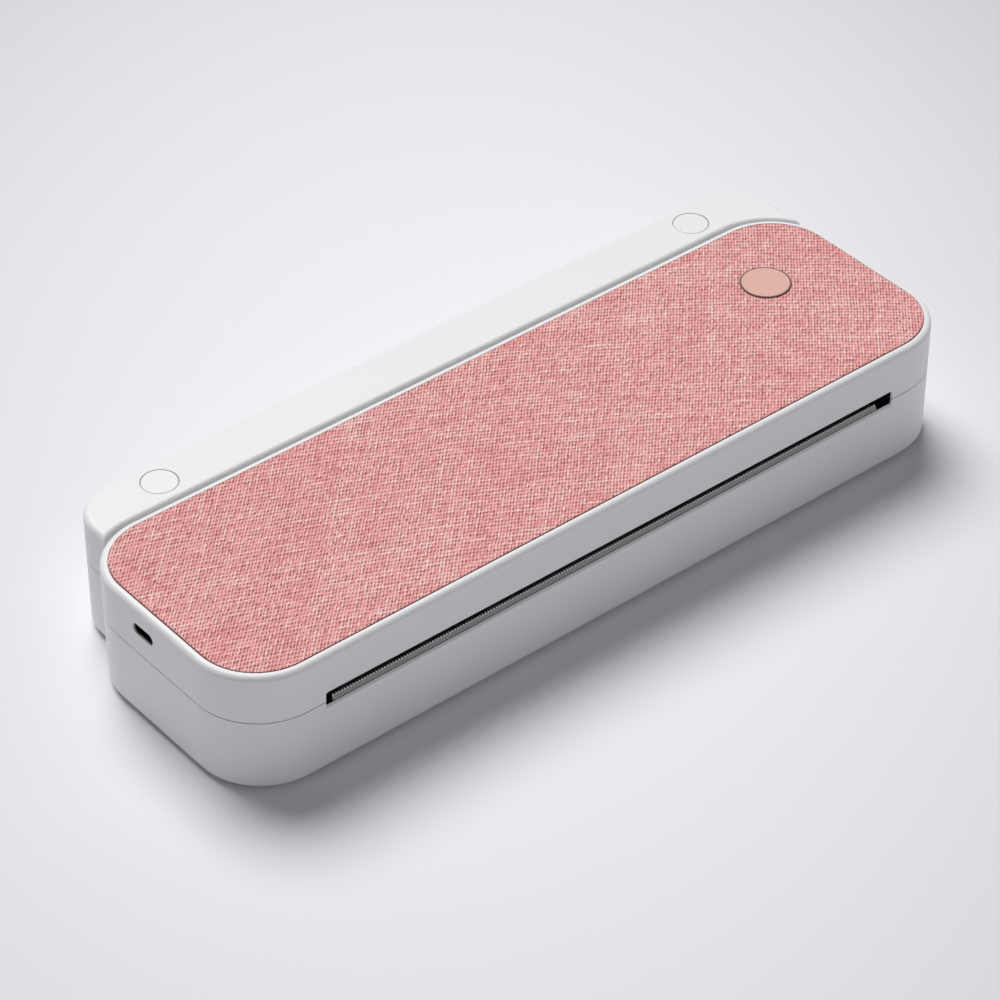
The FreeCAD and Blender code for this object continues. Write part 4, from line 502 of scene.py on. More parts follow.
@dataclass(frozen=True)
class Woven(Finish):
    """Plain weave of uneven linen-like yarns, from a pale pink to a deep rose.

    A tone goes from 0, pale, to 1, deep. The wavers shift the yarns, by scale and reach.
    """

    pale: Colour = (1.0, 0.70, 0.66)
    middle: Colour = (0.92, 0.44, 0.42)
    deep: Colour = (0.66, 0.23, 0.225)
    # painted shade: dark colour put in the hollows between the yarns, where the weave sinks low
    hollow_shade: Colour = (0.26, 0.04, 0.045)
    warp: Threads = Threads(0.92 * MM, math.radians(46.3), 0.29, 3.1)
    weft: Threads = Threads(1.55 * MM, math.radians(-30.0), -1.4, 71.7)
    wavers: tuple[Span, ...] = ((60.0, 0.9 * MM), (700.0, 0.3 * MM))
    # painted shade: dark colour on the rolled edge where it dips and faces the camera, standing in for the
    # shadowed gap at the rim
    edge: Colour = (0.10, 0.028, 0.026)
    edge_shade_high: float = 41.37 * MM
    edge_shade_low: float = 41.3 * MM
    edge_shade_facing: Span = (0.02, 0.2)
    relief: float = 0.16 * MM
    slub: Grain = Grain(1.0, 3.0, 0.7)
    slub_steps: Span = (5.37, 0.27)
    slub_span: Span = (0.25, 0.75)
    slub_tone: float = 0.6
    own_tone: float = 0.24
    thickness: Span = (1.12, 0.82)
    warp_rise: float = 0.72
    weft_rise: float = 0.60
    over_under: float = 0.3
    meeting: Span = (-0.05, 0.05)
    cloud: Grain = Grain(90.0, 3.0)
    cloud_tone: float = 0.14
    crossing_tone: Span = (-0.18, 0.06)
    # random depth at each yarn crossing's corner; it feeds only the painted shade of the hollows
    corner_depth: Span = (-0.14, 0.1)
    pale_span: Span = (0.1, 0.5)
    deep_span: Span = (0.5, 1.0)
    hollow_shade_span: Span = (0.12, 0.72)

    def wavered(self, tree: Wiring) -> Socket:
        """Object coordinates, shifted a little from place to place."""
        moved = tree.place
        for scale, reach in self.wavers:
            swing = tree.node("ShaderNodeTexNoise", {"Vector": tree.place, "Scale": scale}).outputs[1]
            centred = tree.vector("SUBTRACT", swing, (0.5, 0.5, 0.5))[0]
            scaled = tree.node("ShaderNodeVectorMath", {0: centred, 3: reach}, operation="SCALE")
            moved = tree.vector("ADD", moved, scaled.outputs[0])[0]
        return moved

    def lay(self, tree: Wiring, place: Any, threads: Threads) -> tuple[Any, Any]:
        """Position across and along a set of yarns, in pitches.

        Args:
            tree: the material's nodes.
            place: where on the cloth.
            threads: the set of yarns.

        Returns:
            Sockets with the two positions.
        """
        parts = tree.parts(place)
        angle = tree.maths("MULTIPLY_ADD", parts[0], threads.bow, threads.angle)
        reach = tree.maths("DIVIDE", tree.plus(parts[1], 1 / threads.bow), threads.pitch)
        across = tree.times(reach, tree.maths("COSINE", angle))
        along = tree.times(reach, tree.maths("SINE", angle))
        return across, along

    def yarn(self, tree: Wiring, across: Any, along: Any, seed: float) -> tuple[Any, Any]:
        """Tone and thickness of a yarn, different for each one and changing along it.

        Args:
            tree: the material's nodes.
            across: position across the yarns, in pitches.
            along: position along them, in pitches.
            seed: keeps the two sets of yarns apart.

        Returns:
            Sockets with a tone and with a thickness near 1.
        """
        number = tree.maths("FLOOR", across)
        own = tree.node("ShaderNodeTexWhiteNoise", {
            "W": tree.plus(number, seed),
        }, noise_dimensions="1D").outputs[0]
        step, run = self.slub_steps
        spot = tree.joined(tree.times(number, step), tree.times(along, run), seed)
        slub = tree.noise(self.slub, spot)
        tone = tree.spread(slub, (0.0, self.slub_tone), self.slub_span)
        tone = tree.plus(tree.times(own, self.own_tone), tone)
        return tone, tree.spread(slub, self.thickness, NOISE_SPAN)

    def chance(self, tree: Wiring, across: Any, climb: Any, span: Span) -> Socket:
        """Even random value in a range for each crossing of two yarns."""
        numbers = tree.joined(tree.maths("FLOOR", across), tree.maths("FLOOR", climb))
        drawn = tree.node("ShaderNodeTexWhiteNoise", {"Vector": numbers}, noise_dimensions="2D")
        return tree.spread(drawn.outputs[0], span)

    def section(self, tree: Wiring, across: Any, rise: Any, thick: Any) -> Socket:
        """Height of a yarn with a round section, 0 at its edges and most at its crest."""
        off = tree.minus(tree.maths("FRACT", across), 0.5)
        hump = tree.minus(1.0, tree.times(tree.times(off, off), 4.0))
        return tree.times(tree.times(hump, rise), thick)

    def wire(self, tree: Wiring) -> None:
        """Write the cloth's nodes."""
        place = self.wavered(tree)
        across, along = self.lay(tree, place, self.warp)
        climb, run = self.lay(tree, place, self.weft)
        waves = (tree.maths("SINE", tree.times(value, math.pi)) for value in (across, climb))
        lift = tree.times(tree.times(*waves), self.over_under)
        warp_tone, warp_thick = self.yarn(tree, across, along, self.warp.seed)
        weft_tone, weft_thick = self.yarn(tree, climb, run, self.weft.seed)
        warp = self.section(tree, across, tree.plus(self.warp_rise, lift), warp_thick)
        weft = self.section(tree, climb, tree.minus(self.weft_rise, lift), weft_thick)
        height = tree.maths("MAXIMUM", warp, weft)
        on_top = tree.spread(tree.minus(warp, weft), given=self.meeting)
        tone = tree.node("ShaderNodeMix", {0: on_top, 2: weft_tone, 3: warp_tone}).outputs[0]
        cloud = tree.spread(tree.noise(self.cloud), (0.0, self.cloud_tone), NOISE_SPAN)
        tone = tree.plus(tree.plus(tone, cloud), self.chance(tree, across, climb, self.crossing_tone))
        paler = tree.blend(tree.spread(tone, given=self.pale_span), self.pale, self.middle)
        colour = tree.blend(tree.spread(tone, given=self.deep_span), paler, self.deep)
        # painted shade in the hollows: darker where the yarns sink low between crossings
        corner = self.chance(tree, tree.plus(across, 0.5), tree.plus(climb, 0.5), self.corner_depth)
        hollow_shade_share = tree.spread(tree.plus(height, corner), (1.0, 0.0), self.hollow_shade_span)
        # painted shade on the rolled edge: dark where it dips below the top and faces the camera
        facing = tree.vector("DOT_PRODUCT", tree.direction, NEAR_SIDE)[1]
        rolled = tree.times(
            tree.spread(tree.parts(tree.place)[2], (1.0, 0.0), (self.edge_shade_low, self.edge_shade_high)),
            tree.spread(facing, given=self.edge_shade_facing),
        )
        tree.set(
            Base_Color=tree.blend(rolled, tree.blend(hollow_shade_share, colour, self.hollow_shade), self.edge),
            Roughness=0.9,
            Specular_IOR_Level=0.2,
            Sheen_Weight=0.1,
            Sheen_Roughness=0.5,
        )
        tree.relief(height, self.relief)


@dataclass(frozen=True)
class Disc(Finish):
    """Plain round patch with a darker rim drawn round its edge."""

    face: Colour
    rim: Colour
    centre: Point
    radius: float
    rim_width: float = 0.32 * MM
    rim_blur: float = 0.1 * MM
    rim_depth: float = 2.0
    mottle: Grain = Grain(300.0)
    tones: Span = (0.96, 1.03)
    pores: Grain = Grain(4200.0, 3.0, 0.6)
    rough: Span = (0.42, 0.6)
    grain: float = 0.01 * MM

    def wire(self, tree: Wiring) -> None:
        """Write the patch's nodes."""
        flat = tree.vector("MULTIPLY", tree.place, (1.0, 1.0, 0.0))[0]
        away = tree.vector("DISTANCE", flat, self.centre)[1]
        edge = self.radius - 2 * self.rim_width
        ring = tree.spread(away, given=(edge, edge + self.rim_blur))
        pores = tree.noise(self.pores)
        face = tree.tinted(tree.noise(self.mottle), self.face, self.tones)
        tree.set(
            Base_Color=tree.blend(ring, face, self.rim),
            Roughness=tree.spread(pores, self.rough),
        )
        tree.relief(tree.minus(pores, tree.times(ring, self.rim_depth)), self.grain)


SHELL = Moulded("shell_plastic", (0.79, 0.79, 0.79), 0.45, 0.003 * MM)
# painted shade: the box inside the paper slot is near black, for the shadow deep in the slot
SLOT_SHELL = replace(SHELL, name="slotted_shell_plastic", painted=(
    ((-107.4 * MM, -49.90 * MM, 20.0 * MM), (107.4 * MM, -44.0 * MM, 29.0 * MM)),
))
BUTTON = Moulded("button_plastic", (0.80, 0.80, 0.80), 0.38, 0.002 * MM, 6400.0)
BLACK = Moulded("black_plastic", (0.022, 0.022, 0.024), 0.5, 0.01 * MM, 3000.0)
GREY = Moulded("grey_plastic", (0.17, 0.175, 0.18), 0.5, 0.008 * MM, 3200.0)
ARM = Moulded("arm_plastic", (0.62, 0.62, 0.61), 0.42, 0.004 * MM, 4800.0)
GEAR = Moulded("gear_plastic", (0.78, 0.76, 0.68), 0.36, 0.003 * MM, 3600.0)
BOARD_CARD = Moulded("panel_board", (0.05, 0.045, 0.045), 0.7, 0.01 * MM, 2400.0)
LIGHT_PIPE = Moulded("light_pipe", (0.75, 0.82, 0.79), 0.25, 0.001 * MM, 5200.0, 0.6)
FOOT_RUBBER = Rubbery("foot_rubber", (0.025, 0.025, 0.026))
ROLLER_RUBBER = Rubbery("roller_rubber", (0.018, 0.018, 0.02), 0.66, 0.014 * MM)
CUTTER = Serrated("cutter_steel", (0.15, 0.148, 0.14), (0.42, 0.42, 0.41),
                  tip_low=24.45 * MM, tip_high=24.85 * MM, pitch=1.0 * MM)
SHEET = Brushed("zinc_sheet", (0.58, 0.59, 0.60), Lay.ALONG_X, 0.34, 0.003 * MM)
TURNED = Brushed("turned_steel", (0.62, 0.62, 0.63), Lay.TURNED, 0.22, 0.002 * MM)
SCREW = Brushed("blackened_screw", (0.12, 0.12, 0.125), Lay.TURNED, 0.36, 0.002 * MM)
SPRING = Brushed("spring_wire", (0.60, 0.60, 0.61), Lay.TURNED, 0.2, 0.001 * MM)
BRASS = Brushed("brass_bush", (0.70, 0.50, 0.20), Lay.TURNED, 0.28, 0.002 * MM)
CAN = Brushed("motor_can", (0.42, 0.42, 0.44), Lay.ALONG_Y, 0.3, 0.002 * MM)
# partly real, partly painted shade: the port's tongue is black, and its metal shell is given near-black
# colour for the shade in the opening
PORT = Brushed("port_metal_near_black", (0.035, 0.035, 0.036), Lay.ALONG_X, 0.36, 0.002 * MM)
FINNED = Brushed("extruded_aluminium", (0.70, 0.71, 0.72), Lay.ALONG_X, 0.36, 0.004 * MM)
GREEN_BOARD = Lacquered("lacquered_board")
CELL = Wrapped("cell_wrap", (0.03, 0.13, 0.36))
HEATER = Glazed("heater_ceramic", (0.38, 0.36, 0.30))
ROSE_CLOTH = Woven("rose_weave")
PATCH = Disc("plain_patch", face=(0.68, 0.395, 0.315), rim=(0.10, 0.04, 0.035),
             centre=(102.7 * MM, 1.525 * MM, 0.0), radius=8.0 * MM)


@dataclass
class Paints:
    """Makes each finish's material once."""

    made: dict[str, bpy.types.Material] = field(default_factory=dict)

    def of(self, finish: Finish) -> bpy.types.Material:
        """Material of a finish."""
        if finish.name not in self.made:
            self.made[finish.name] = finish.material()
        return self.made[finish.name]


PAINTS = Paints()


def dress(nodes: dict[str, Finish]) -> None:
    """Give CAD nodes their finishes.

    Args:
        nodes: finish for each node's name.
    """
    for name, finish in nodes.items():
        piece = frame["nodes"][name]
        for slot in piece.material_slots:
            slot.material = PAINTS.of(finish)
        log.info("dressed %s with %s", name, finish.name)


def placed(name: str, data: Any) -> bpy.types.Object:
    """New object in the scene."""
    made = bpy.data.objects.new(name, data)
    bpy.context.scene.collection.objects.link(made)
    return made


def add_piece(name: str, points: Sequence[Point], faces: Sequence[Sequence[int]],
              finish: Finish) -> bpy.types.Object:
    """Make a smooth mesh piece.

    Args:
        name: the piece's name.
        points: its corners.
        faces: corner numbers of each face.
        finish: what it is made of.

    Returns:
        The new object.
    """
    mesh = bpy.data.meshes.new(name)
    mesh.from_pydata(points, [], faces)
    mesh.validate()
    mesh.materials.append(PAINTS.of(finish))
    for face in mesh.polygons:
        face.use_smooth = True
    return placed(name, mesh)


class Grower(Tree):
    """Short way to write a Geometry Nodes tree and bake its result."""

    def __init__(self, name: str, inputs: dict[str, tuple[str, Any]]) -> None:
        """Start a tree.

        Args:
            name: the tree's name.
            inputs: socket type and value for each named input, besides its material.
        """
        super().__init__(bpy.data.node_groups.new(name, "GeometryNodeTree"))
        face = self.tree.interface
        face.new_socket("Geometry", in_out="INPUT", socket_type="NodeSocketGeometry")
        self.values = {key: value for key, (_, value) in inputs.items()}
        for key, (kind, _) in inputs.items():
            face.new_socket(key, in_out="INPUT", socket_type="NodeSocket" + kind)
        face.new_socket("Material", in_out="INPUT", socket_type="NodeSocketMaterial")
        face.new_socket("Geometry", in_out="OUTPUT", socket_type="NodeSocketGeometry")
        self.source = self.node("NodeGroupInput")
        self.end = self.node("NodeGroupOutput")

    def given(self, key: str) -> Socket:
        """Socket of a named input."""
        return self.source.outputs[key]

    def block(self, size: Any, place: Any = (0.0, 0.0, 0.0)) -> Socket:
        """Block of a size at a place."""
        cube = self.node("GeometryNodeMeshCube", {"Size": size})
        return self.moved(cube.outputs[0], place)

    def moved(self, geometry: Socket, place: Any) -> Socket:
        """Geometry moved by a vector."""
        return self.node("GeometryNodeTransform", {"Geometry": geometry, "Translation": place}).outputs[0]

    def joined(self, parts: Sequence[Socket]) -> Socket:
        """Several geometries as one."""
        join = self.node("GeometryNodeJoinGeometry")
        for part in parts:
            self.tree.links.new(part, join.inputs[0])
        return join.outputs[0]

    def repeat(self, points: Socket, instance: Socket, **more: Any) -> Socket:
        """Put a copy on each point, with more inputs by name."""
        return self.node("GeometryNodeInstanceOnPoints", {
            "Points": points, "Instance": instance, **more,
        }).outputs[0]

    def finish_with(self, geometry: Socket) -> None:
        """Realize the instances, set the material and end the tree."""
        real = self.node("GeometryNodeRealizeInstances", {0: geometry})
        smooth = self.node("GeometryNodeSetShadeSmooth", {0: real.outputs[0]})
        painted = self.node("GeometryNodeSetMaterial", {
            0: smooth.outputs[0], "Material": self.given("Material"),
        })
        self.tree.links.new(painted.outputs[0], self.end.inputs[0])

    def bake(self, name: str, points: Sequence[Point], finish: Finish) -> bpy.types.Object:
        """Grow the tree on a set of points and keep a plain mesh.

        Args:
            name: name of the piece.
            points: places that the tree works on.
            finish: what the piece is made of.

        Returns:
            The baked piece, with no modifier left.
        """
        seedling = add_piece(name + "_points", points, [], finish)
        modifier = seedling.modifiers.new("grow", "NODES")
        modifier.node_group = self.tree
        values = {**self.values, "Material": PAINTS.of(finish)}
        for item in self.tree.interface.items_tree:
            if item.in_out == "INPUT" and item.name in values:
                modifier[item.identifier] = values[item.name]
        bpy.context.view_layer.update()
        grown = seedling.evaluated_get(bpy.context.evaluated_depsgraph_get())
        mesh = bpy.data.meshes.new_from_object(grown)
        mesh.name = name
        seedling.modifiers.remove(modifier)
        bpy.data.objects.remove(seedling)
        return placed(name, mesh)


@dataclass(frozen=True)
class Coil:
    """Coil spring: outer radius, wire, free length, turns, and the steps that round them."""

    radius: float
    wire: float
    length: float
    turns: float
    turn_steps: int = 28
    wire_steps: int = 8

    def tree(self) -> Grower:
        """Tree that stands the spring on each point.

        Returns:
            The tree.
        """
        tree = Grower("coil_spring", {
            "Coil Radius": ("Float", self.radius - self.wire / 2),
            "Wire Radius": ("Float", self.wire / 2),
            "Length": ("Float", self.length - self.wire),
            "Turns": ("Float", self.turns),
        })
        line = tree.node("GeometryNodeCurveSpiral", {
            "Resolution": self.turn_steps, "Rotations": tree.given("Turns"),
            "Start Radius": tree.given("Coil Radius"), "End Radius": tree.given("Coil Radius"),
            "Height": tree.given("Length"),
        })
        ring = tree.node("GeometryNodeCurvePrimitiveCircle", {
            "Resolution": self.wire_steps, "Radius": tree.given("Wire Radius"),
        })
        tube = tree.node("GeometryNodeCurveToMesh", {
            0: line.outputs[0], 1: ring.outputs[0], "Fill Caps": True,
        })
        tree.finish_with(tree.repeat(tree.given("Geometry"), tube.outputs[0]))
        return tree


def lead_tree(side: float, pitch: float, lead: Point) -> Grower:
    """Tree that lays two rows of leads beside each chip.

    Args:
        side: width of the square chip.
        pitch: distance between leads.
        lead: size of one lead.

    Returns:
        The tree.
    """
    count = int((side - lead[0]) / pitch) + 1
    tree = Grower("chip_leads", {
        "Count": ("Int", count),
        "Pitch": ("Float", pitch),
        "Reach": ("Float", (side + lead[1]) / 2),
        "Lead Size": ("Vector", lead),
    })
    row = tree.node("GeometryNodeMeshLine", {
        "Count": tree.given("Count"), "Start Location": (-(count - 1) * pitch / 2, 0.0, 0.0),
        "Offset": tree.node("ShaderNodeCombineXYZ", {0: tree.given("Pitch")}).outputs[0],
    })
    leads = tree.repeat(row.outputs[0], tree.block(tree.given("Lead Size")))
    rows = []
    for side_sign in (-1.0, 1.0):
        reach = tree.node("ShaderNodeMath", {0: tree.given("Reach"), 1: side_sign}, operation="MULTIPLY")
        rows.append(tree.moved(leads, tree.node("ShaderNodeCombineXYZ", {1: reach.outputs[0]}).outputs[0]))
    tree.finish_with(tree.repeat(tree.given("Geometry"), tree.joined(rows)))
    return tree


@dataclass(frozen=True)
class Scatter:
    """Grid of small board parts round a point, of which a random share is kept or turned."""

    width: float = 6.6 * MM
    depth: float = 12.0 * MM
    columns: int = 3
    rows: int = 5
    kept: float = 0.75
    seed: int = 5

    def tree(self, blocks: Sequence[tuple[Point, Point]]) -> Grower:
        """Tree that lays the parts round each point.

        Args:
            blocks: place and size of each block of one part.

        Returns:
            The tree.
        """
        tree = Grower("board_parts", {
            "Width": ("Float", self.width),
            "Depth": ("Float", self.depth),
            "Seed": ("Int", self.seed),
        })
        grid = tree.node("GeometryNodeMeshGrid", {
            "Size X": tree.given("Width"), "Size Y": tree.given("Depth"),
            "Vertices X": self.columns, "Vertices Y": self.rows,
        })
        fields = tree.repeat(tree.given("Geometry"), grid.outputs[0])
        spots = tree.node("GeometryNodeRealizeInstances", {0: fields})
        kept = tree.node("FunctionNodeRandomValue", {
            6: self.kept, 8: tree.given("Seed"),
        }, data_type="BOOLEAN").outputs[3]
        turned = tree.node("FunctionNodeRandomValue", {
            4: 0, 5: 1, 8: tree.given("Seed"),
        }, data_type="INT").outputs[2]
        angle = tree.node("ShaderNodeMath", {0: turned, 1: math.pi / 2}, operation="MULTIPLY").outputs[0]
        spin = tree.node("ShaderNodeCombineXYZ", {2: angle}).outputs[0]
        part = tree.joined([tree.block(size, place) for place, size in blocks])
        tree.finish_with(tree.repeat(spots.outputs[0], part, Selection=kept, Rotation=spin))
        return tree


@dataclass
class FabricTop:
    """Woven cover with its stiff board and the plain round patch."""

    half_x: float = 132.78 * MM
    low_y: float = -48.315 * MM
    high_y: float = 28.305 * MM
    corner: float = 19.2 * MM
    least_corner_share: float = 0.15
    top: float = 41.4 * MM
    thick: float = 0.6 * MM
    edge: float = 1.1 * MM
    edge_steps: int = 6
    under_inset: float = 0.35 * MM
    under_rise: float = 0.05 * MM
    drop: float = 0.5 * MM
    least_drop_share: float = 0.14
    full_drop_facing: float = 0.3
    rings: int = 26
    ring_reach_share: float = 0.96
    corner_steps: int = 14
    side_steps: int = 60
    end_steps: int = 15

    def outline(self, inset: float, z: float, drop: float = 0.0) -> list[Point]:
        """Closed outline of the sheet, drawn in by an inset.

        Args:
            inset: how far it lies inside the cut edge.
            z: its height.
            drop: how far the front edge hangs below that height.

        Returns:
            The outline's points, as many for every inset.
        """
        middle = (self.low_y + self.high_y) / 2
        half_y = (self.high_y - self.low_y) / 2 - inset
        half_x = self.half_x - inset
        radius = min(max(self.corner - inset, self.least_corner_share * self.corner), half_y)

        def on_corner(sx: int, sy: int, degrees: float) -> Point:
            """Point on the round corner of a quarter of the sheet."""
            angle = math.radians(degrees)
            return (sx * (half_x - radius) + radius * math.cos(angle),
                    middle + sy * (half_y - radius) + radius * math.sin(angle),
                    z - drop * self.hang(angle))

        points: list[Point] = []
        corners = ((1, 1, 0.0), (-1, 1, 90.0), (-1, -1, 180.0), (1, -1, 270.0))
        for index, (sx, sy, start) in enumerate(corners):
            for step in range(self.corner_steps + 1):
                points.append(on_corner(sx, sy, start + 90.0 * step / self.corner_steps))
            begin, end = points[-1], on_corner(*corners[(index + 1) % len(corners)])
            steps = self.side_steps if index % 2 == 0 else self.end_steps
            for step in range(1, steps):
                share = step / steps
                points.append(tuple(a + (b - a) * share for a, b in zip(begin, end)))
        return points

    def hang(self, angle: float) -> float:
        """Share of the full drop on an edge that faces an angle, most at the front left."""
        facing = NEAR_SIDE[0] * math.cos(angle) + NEAR_SIDE[1] * math.sin(angle)
        turned = min(max(facing / self.full_drop_facing, 0.0), 1.0)
        return self.least_drop_share + (1 - self.least_drop_share) * turned

    def sheet(self) -> bpy.types.Object:
        """Build the cloth with its rolled edge."""
        low = self.top - self.thick
        levels = [(self.under_inset, low, 0.0), (0.0, low + self.under_rise, 0.0)]
        for step in range(self.edge_steps + 1):
            angle = math.radians(90.0 * step / self.edge_steps)
            inset = self.edge * (1 - math.cos(angle))
            levels.append((inset, self.top, self.drop * (1 - math.sin(angle))))
        reach = (self.high_y - self.low_y) / 2 * self.ring_reach_share
        for step in range(1, self.rings + 1):
            levels.append((self.edge + (reach - self.edge) * step / self.rings, self.top, 0.0))
        points = [point for level in levels for point in self.outline(*level)]
        count = len(points) // len(levels)
        faces: list[tuple[int, ...]] = []
        for ring in range(len(levels) - 1):
            for index in range(count):
                a, b = ring * count + index, ring * count + (index + 1) % count
                faces.append((a, b, b + count, a + count))
        last = (len(levels) - 1) * count
        faces.append(tuple(range(last, last + count)))
        faces.append(tuple(reversed(range(count))))
        return add_piece("woven_cover", points, faces, ROSE_CLOTH)

    def build(self) -> None:
        """Build the cloth and dress what it lies on."""
        cloth = self.sheet()
        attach(cloth, "cover")
        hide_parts("fabric_cover")
        dress({"top_panel": BOARD_CARD, "round_patch": PATCH})


@dataclass
class Shells:
    """Moulded shells, feet and buttons."""

    nodes: dict[str, Finish] = field(default_factory=lambda: {
        "upper_case": SLOT_SHELL, "lower_case": SLOT_SHELL, "holder_upper": SHELL, "holder_lower": SHELL,
        "left_release_button": BUTTON, "right_release_button": BUTTON, "power_button": BUTTON,
        "base_feet": FOOT_RUBBER, "holder_feet": FOOT_RUBBER, "status_light": LIGHT_PIPE,
        "holder_arms": ARM, "slide_channels": GREY, "holder_screws": SCREW,
    })

    def build(self) -> None:
        """Dress the shells."""
        dress(self.nodes)


@dataclass
class Springs:
    """Coil springs over the print head and under the two release buttons."""

    head_coil: Coil = Coil(2.2 * MM, 0.5 * MM, 6.5 * MM, 6.5)
    head_count: int = 5
    head_half: float = 107.0 * MM
    head_y: float = -36.725 * MM
    head_low: float = 30.5 * MM
    head_lift: float = 0.5 * MM
    release_coil: Coil = Coil(4.0 * MM, 0.7 * MM, 16.3 * MM, 8.5)
    release_y: float = 40.975 * MM
    release_low: float = 20.7 * MM
    release_travel: float = 1.5 * MM
    release_x: dict[Side, float] = field(default_factory=lambda: {
        Side.LEFT: -96.6 * MM, Side.RIGHT: 107.3 * MM,
    })

    def head_places(self) -> list[Point]:
        """Foot of each head spring, evenly spread over the print head."""
        step = 2 * self.head_half / self.head_count
        low = self.head_low + self.head_coil.wire / 2
        return [((index + 0.5) * step - self.head_half, self.head_y, low) for index in range(self.head_count)]

    def build(self) -> None:
        """Build the springs and let each move with its part of the printer."""
        heads = self.head_coil.tree().bake("head_coils", self.head_places(), SPRING)
        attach(heads, "cover")
        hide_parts("head_springs")
        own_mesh(heads)
        tree = self.release_coil.tree()
        low = self.release_low + self.release_coil.wire / 2
        for side, x in self.release_x.items():
            name = side.name.lower()
            piece = tree.bake(name + "_release_coil", [(x, self.release_y, low)], SPRING)
            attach(piece, "roll_holder")
            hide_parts(name + "_release_spring")
            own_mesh(piece)
            log.info("%s release coil built", name)


@dataclass
class Mechanism:
    """Tear bar, paper drive, print head, hinge and fasteners."""

    nodes: dict[str, Finish] = field(default_factory=lambda: {
        "tear_bar": CUTTER, "tear_bar_screws": SCREW, "print_frame": SHEET, "frame_screws": SCREW,
        "platen_bushes": BRASS, "idler_pin": TURNED, "motor": CAN, "motor_screws": SCREW,
        "lower_paper_guide": BLACK, "guide_screws": SCREW, "paper_sensor": BLACK,
        "platen_shaft": TURNED, "platen_roller": ROLLER_RUBBER, "platen_gear": GEAR,
        "idler_gear": GEAR, "motor_pinion": TURNED, "print_head": HEATER, "head_heatsink": FINNED,
        "head_bracket": SHEET, "head_pivot_pins": TURNED, "cover_screws": SCREW,
        "upper_paper_guide": BLACK, "upper_guide_screws": SCREW, "hinge_tracks": SHEET,
        "hinge_arms": SHEET, "hinge_pins": TURNED,
    })

    def build(self) -> None:
        """Dress the mechanism."""
        dress(self.nodes)


@dataclass
class Electronics:
    """Boards, charging port, switch and battery, with the main board's leads and small parts.

    Each of the chips' widths has the places of its chips along X.
    """

    nodes: dict[str, Finish] = field(default_factory=lambda: {
        "main_board": GREEN_BOARD, "switch_board": GREEN_BOARD, "board_screws": SCREW,
        "board_chips": BLACK, "usb_c_port": PORT, "power_switch": BLACK,
        "battery_cells": CELL, "battery_cradle": BLACK,
    })
    board_middle: float = -5.525 * MM
    board_under: float = 30.67 * MM
    chips: dict[float, tuple[float, float]] = field(default_factory=lambda: {
        9.0 * MM: (-108.0 * MM, -33.0 * MM),
        5.0 * MM: (-85.0 * MM, -10.0 * MM),
        7.0 * MM: (-59.0 * MM, 16.0 * MM),
    })
    lead: Point = (0.35 * MM, 0.9 * MM, 0.18 * MM)
    lead_pitch: float = 0.8 * MM
    lead_gap: float = 0.01 * MM
    fields: tuple[float, ...] = tuple(x * MM for x in (-95.5, -72.5, -46.5, -20.5, 2.5, 29.0, 42.0))
    scatter: Scatter = Scatter()
    body: Point = (1.1 * MM, 0.8 * MM, 0.45 * MM)
    cap: Point = (0.24 * MM, 0.82 * MM, 0.47 * MM)
    part_depth: float = 0.25 * MM

    def carry(self, piece: bpy.types.Object) -> None:
        """Let a piece move with the cover."""
        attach(piece, "cover")

    def build(self) -> None:
        """Dress the electronics and set the board's small parts under it."""
        dress(self.nodes)
        low = self.board_under - self.lead[2] / 2 - self.lead_gap
        for side, columns in self.chips.items():
            tree = lead_tree(side, self.lead_pitch, self.lead)
            points = [(x, self.board_middle, low) for x in columns]
            self.carry(tree.bake("leads_%d_mm" % round(side / MM), points, TURNED))
        points = [(x, self.board_middle, self.board_under - self.part_depth) for x in self.fields]
        reach = (self.body[0] + self.cap[0]) / 2
        bodies = self.scatter.tree([((0.0, 0.0, 0.0), self.body)])
        caps = self.scatter.tree([((-reach, 0.0, 0.0), self.cap), ((reach, 0.0, 0.0), self.cap)])
        self.carry(bodies.bake("small_part_bodies", points, BLACK))
        self.carry(caps.bake("small_part_caps", points, TURNED))


@dataclass(frozen=True)
class Lamp:
    """Far soft light: energy, height and bearing in degrees, its width and colour.

    The bearing is counted from +Y towards -X.
    """

    name: str
    energy: float
    elevation: float
    azimuth: float
    spread: float
    colour: Colour = (1.0, 1.0, 1.0)

    def hang(self) -> None:
        """Add the light to the scene."""
        data = bpy.data.lights.new(self.name, "SUN")
        data.energy = self.energy
        data.angle = math.radians(self.spread)
        data.color = self.colour
        lamp = placed(self.name, data)
        rise, turn = math.radians(self.elevation), math.radians(self.azimuth)
        level = math.cos(rise)
        towards = Vector((-math.sin(turn) * level, math.cos(turn) * level, math.sin(rise)))
        lamp.rotation_mode = "QUATERNION"
        lamp.rotation_quaternion = towards.to_track_quat("Z", "Y")


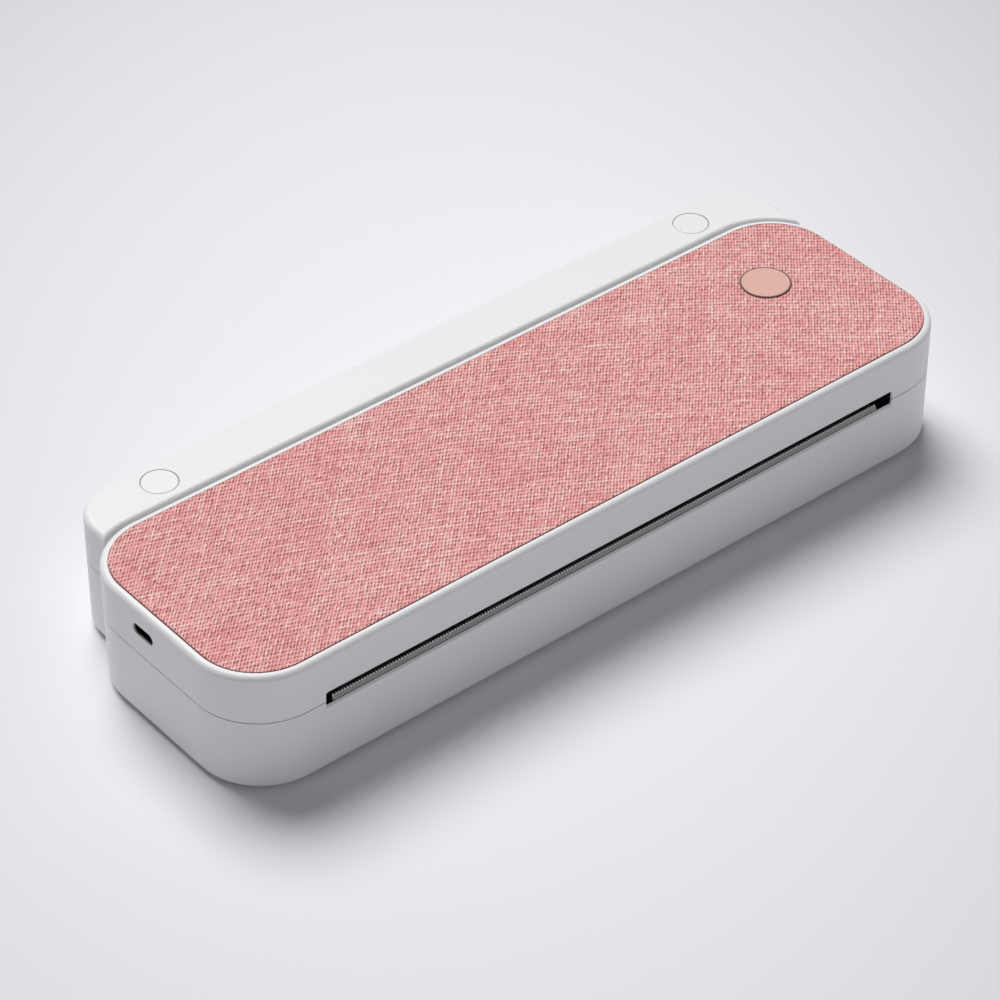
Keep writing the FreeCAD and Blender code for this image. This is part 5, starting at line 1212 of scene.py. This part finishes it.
@dataclass
class Studio:
    """Pale floor with a painted pool of light round the printer, three soft lamps, sky and camera."""

    floor_half: float = 6.0
    floor_colour: Colour = (0.88, 0.876, 0.916)
    mottle: Grain = Grain(3.0)
    mottle_span: Span = (-0.02, 0.02)
    # painted light: a pool of light painted into the floor colour, centred near the printer and squashed
    # along the view
    light_pool_centre: Point = (0.017, 0.060, 0.0)
    light_pool_reach: float = 0.0515
    light_pool_fall: float = 0.205
    light_pool_stretch: float = 1.3
    away: Point = (0.6364, 0.7714, 0.0)
    squat: float = 0.607
    sky: float = 0.075
    seen_sky: float = 0.8
    sky_colour: Colour = (0.96, 0.98, 1.0)
    lamps: tuple[Lamp, ...] = (
        Lamp("key", 3.02, 58.5, -13.5, 36.0),
        Lamp("fill", 0.64, 10.0, 210.0, 60.0, (1.0, 0.965, 1.04)),
        Lamp("side", 0.4, 10.0, 95.0, 60.0, (1.0, 0.965, 1.04)),
    )
    camera_place: Point = (-0.56629, -0.68109, 0.72277)
    camera_turn: Point = (51.16397, -0.02848, -39.52457)
    lens: float = 137.507
    sensor: float = 36.0
    clip: Span = (0.05, 60.0)

    def floor(self) -> None:
        """Lay the floor, with a painted pool of light: its colour darkens away from the printer."""
        tree = Wiring("studio_floor")
        off = tree.vector("SUBTRACT", tree.place, self.light_pool_centre)[0]
        length = tree.vector("LENGTH", off)[1]
        depth = tree.vector("DOT_PRODUCT", off, self.away)[1]
        spot = tree.minus(tree.maths("POWER", length, 2.0),
                          tree.times(tree.times(depth, depth), self.squat))
        fall = tree.spread(spot, given=(0.0, self.light_pool_stretch * self.light_pool_reach))
        fall = tree.plus(fall, tree.spread(tree.noise(self.mottle), self.mottle_span))
        darkest = shade(self.floor_colour, 1 - self.light_pool_stretch * self.light_pool_fall)
        tree.set(
            Base_Color=tree.blend(fall, self.floor_colour, darkest),
            Roughness=0.95,
            Specular_IOR_Level=0.1,
        )
        half = self.floor_half
        mesh = bpy.data.meshes.new("floor")
        corners = [(-half, -half, 0), (half, -half, 0), (half, half, 0), (-half, half, 0)]
        mesh.from_pydata(corners, [], [(0, 1, 2, 3)])
        mesh.materials.append(tree.material)
        ground = placed("floor", mesh)

    def light(self) -> None:
        """Hang the lamps and set a sky that is brighter where it is seen or mirrored."""
        world = bpy.data.worlds.new("sky")
        bpy.context.scene.world = world
        world.use_nodes = True
        sky = Tree(world.node_tree)
        path = sky.node("ShaderNodeLightPath").outputs
        either = sky.node("ShaderNodeMath", {
            0: path["Is Camera Ray"], 1: path["Is Glossy Ray"],
        }, operation="MAXIMUM")
        level = sky.node("ShaderNodeMapRange", {
            "Value": either.outputs[0], "To Min": self.sky, "To Max": self.seen_sky,
        })
        back = sky.node("ShaderNodeBackground", {"Color": self.sky_colour, "Strength": level.outputs[0]})
        sky.node("ShaderNodeOutputWorld", {"Surface": back.outputs[0]})
        for lamp in self.lamps:
            lamp.hang()

    def camera(self) -> None:
        """Place the camera as the photograph's."""
        data = bpy.data.cameras.new("camera")
        data.lens = self.lens
        data.sensor_width = self.sensor
        data.clip_start, data.clip_end = self.clip
        eye = placed("camera", data)
        eye.location = self.camera_place
        eye.rotation_euler = Euler([math.radians(turn) for turn in self.camera_turn], "XYZ")
        bpy.context.scene.camera = eye

    def build(self) -> None:
        """Set up floor, light and camera."""
        self.floor()
        self.light()
        self.camera()
        bpy.context.scene.view_settings.view_transform = "Standard"


def main() -> None:
    """Build every sub-assembly in order."""
    assemblies = (Shells(), FabricTop(), Mechanism(), Electronics(), Springs(), Studio())
    for assembly in assemblies:
        assembly.build()
        log.info("%s built", type(assembly).__name__)


if __name__ == "__main__":
    main()
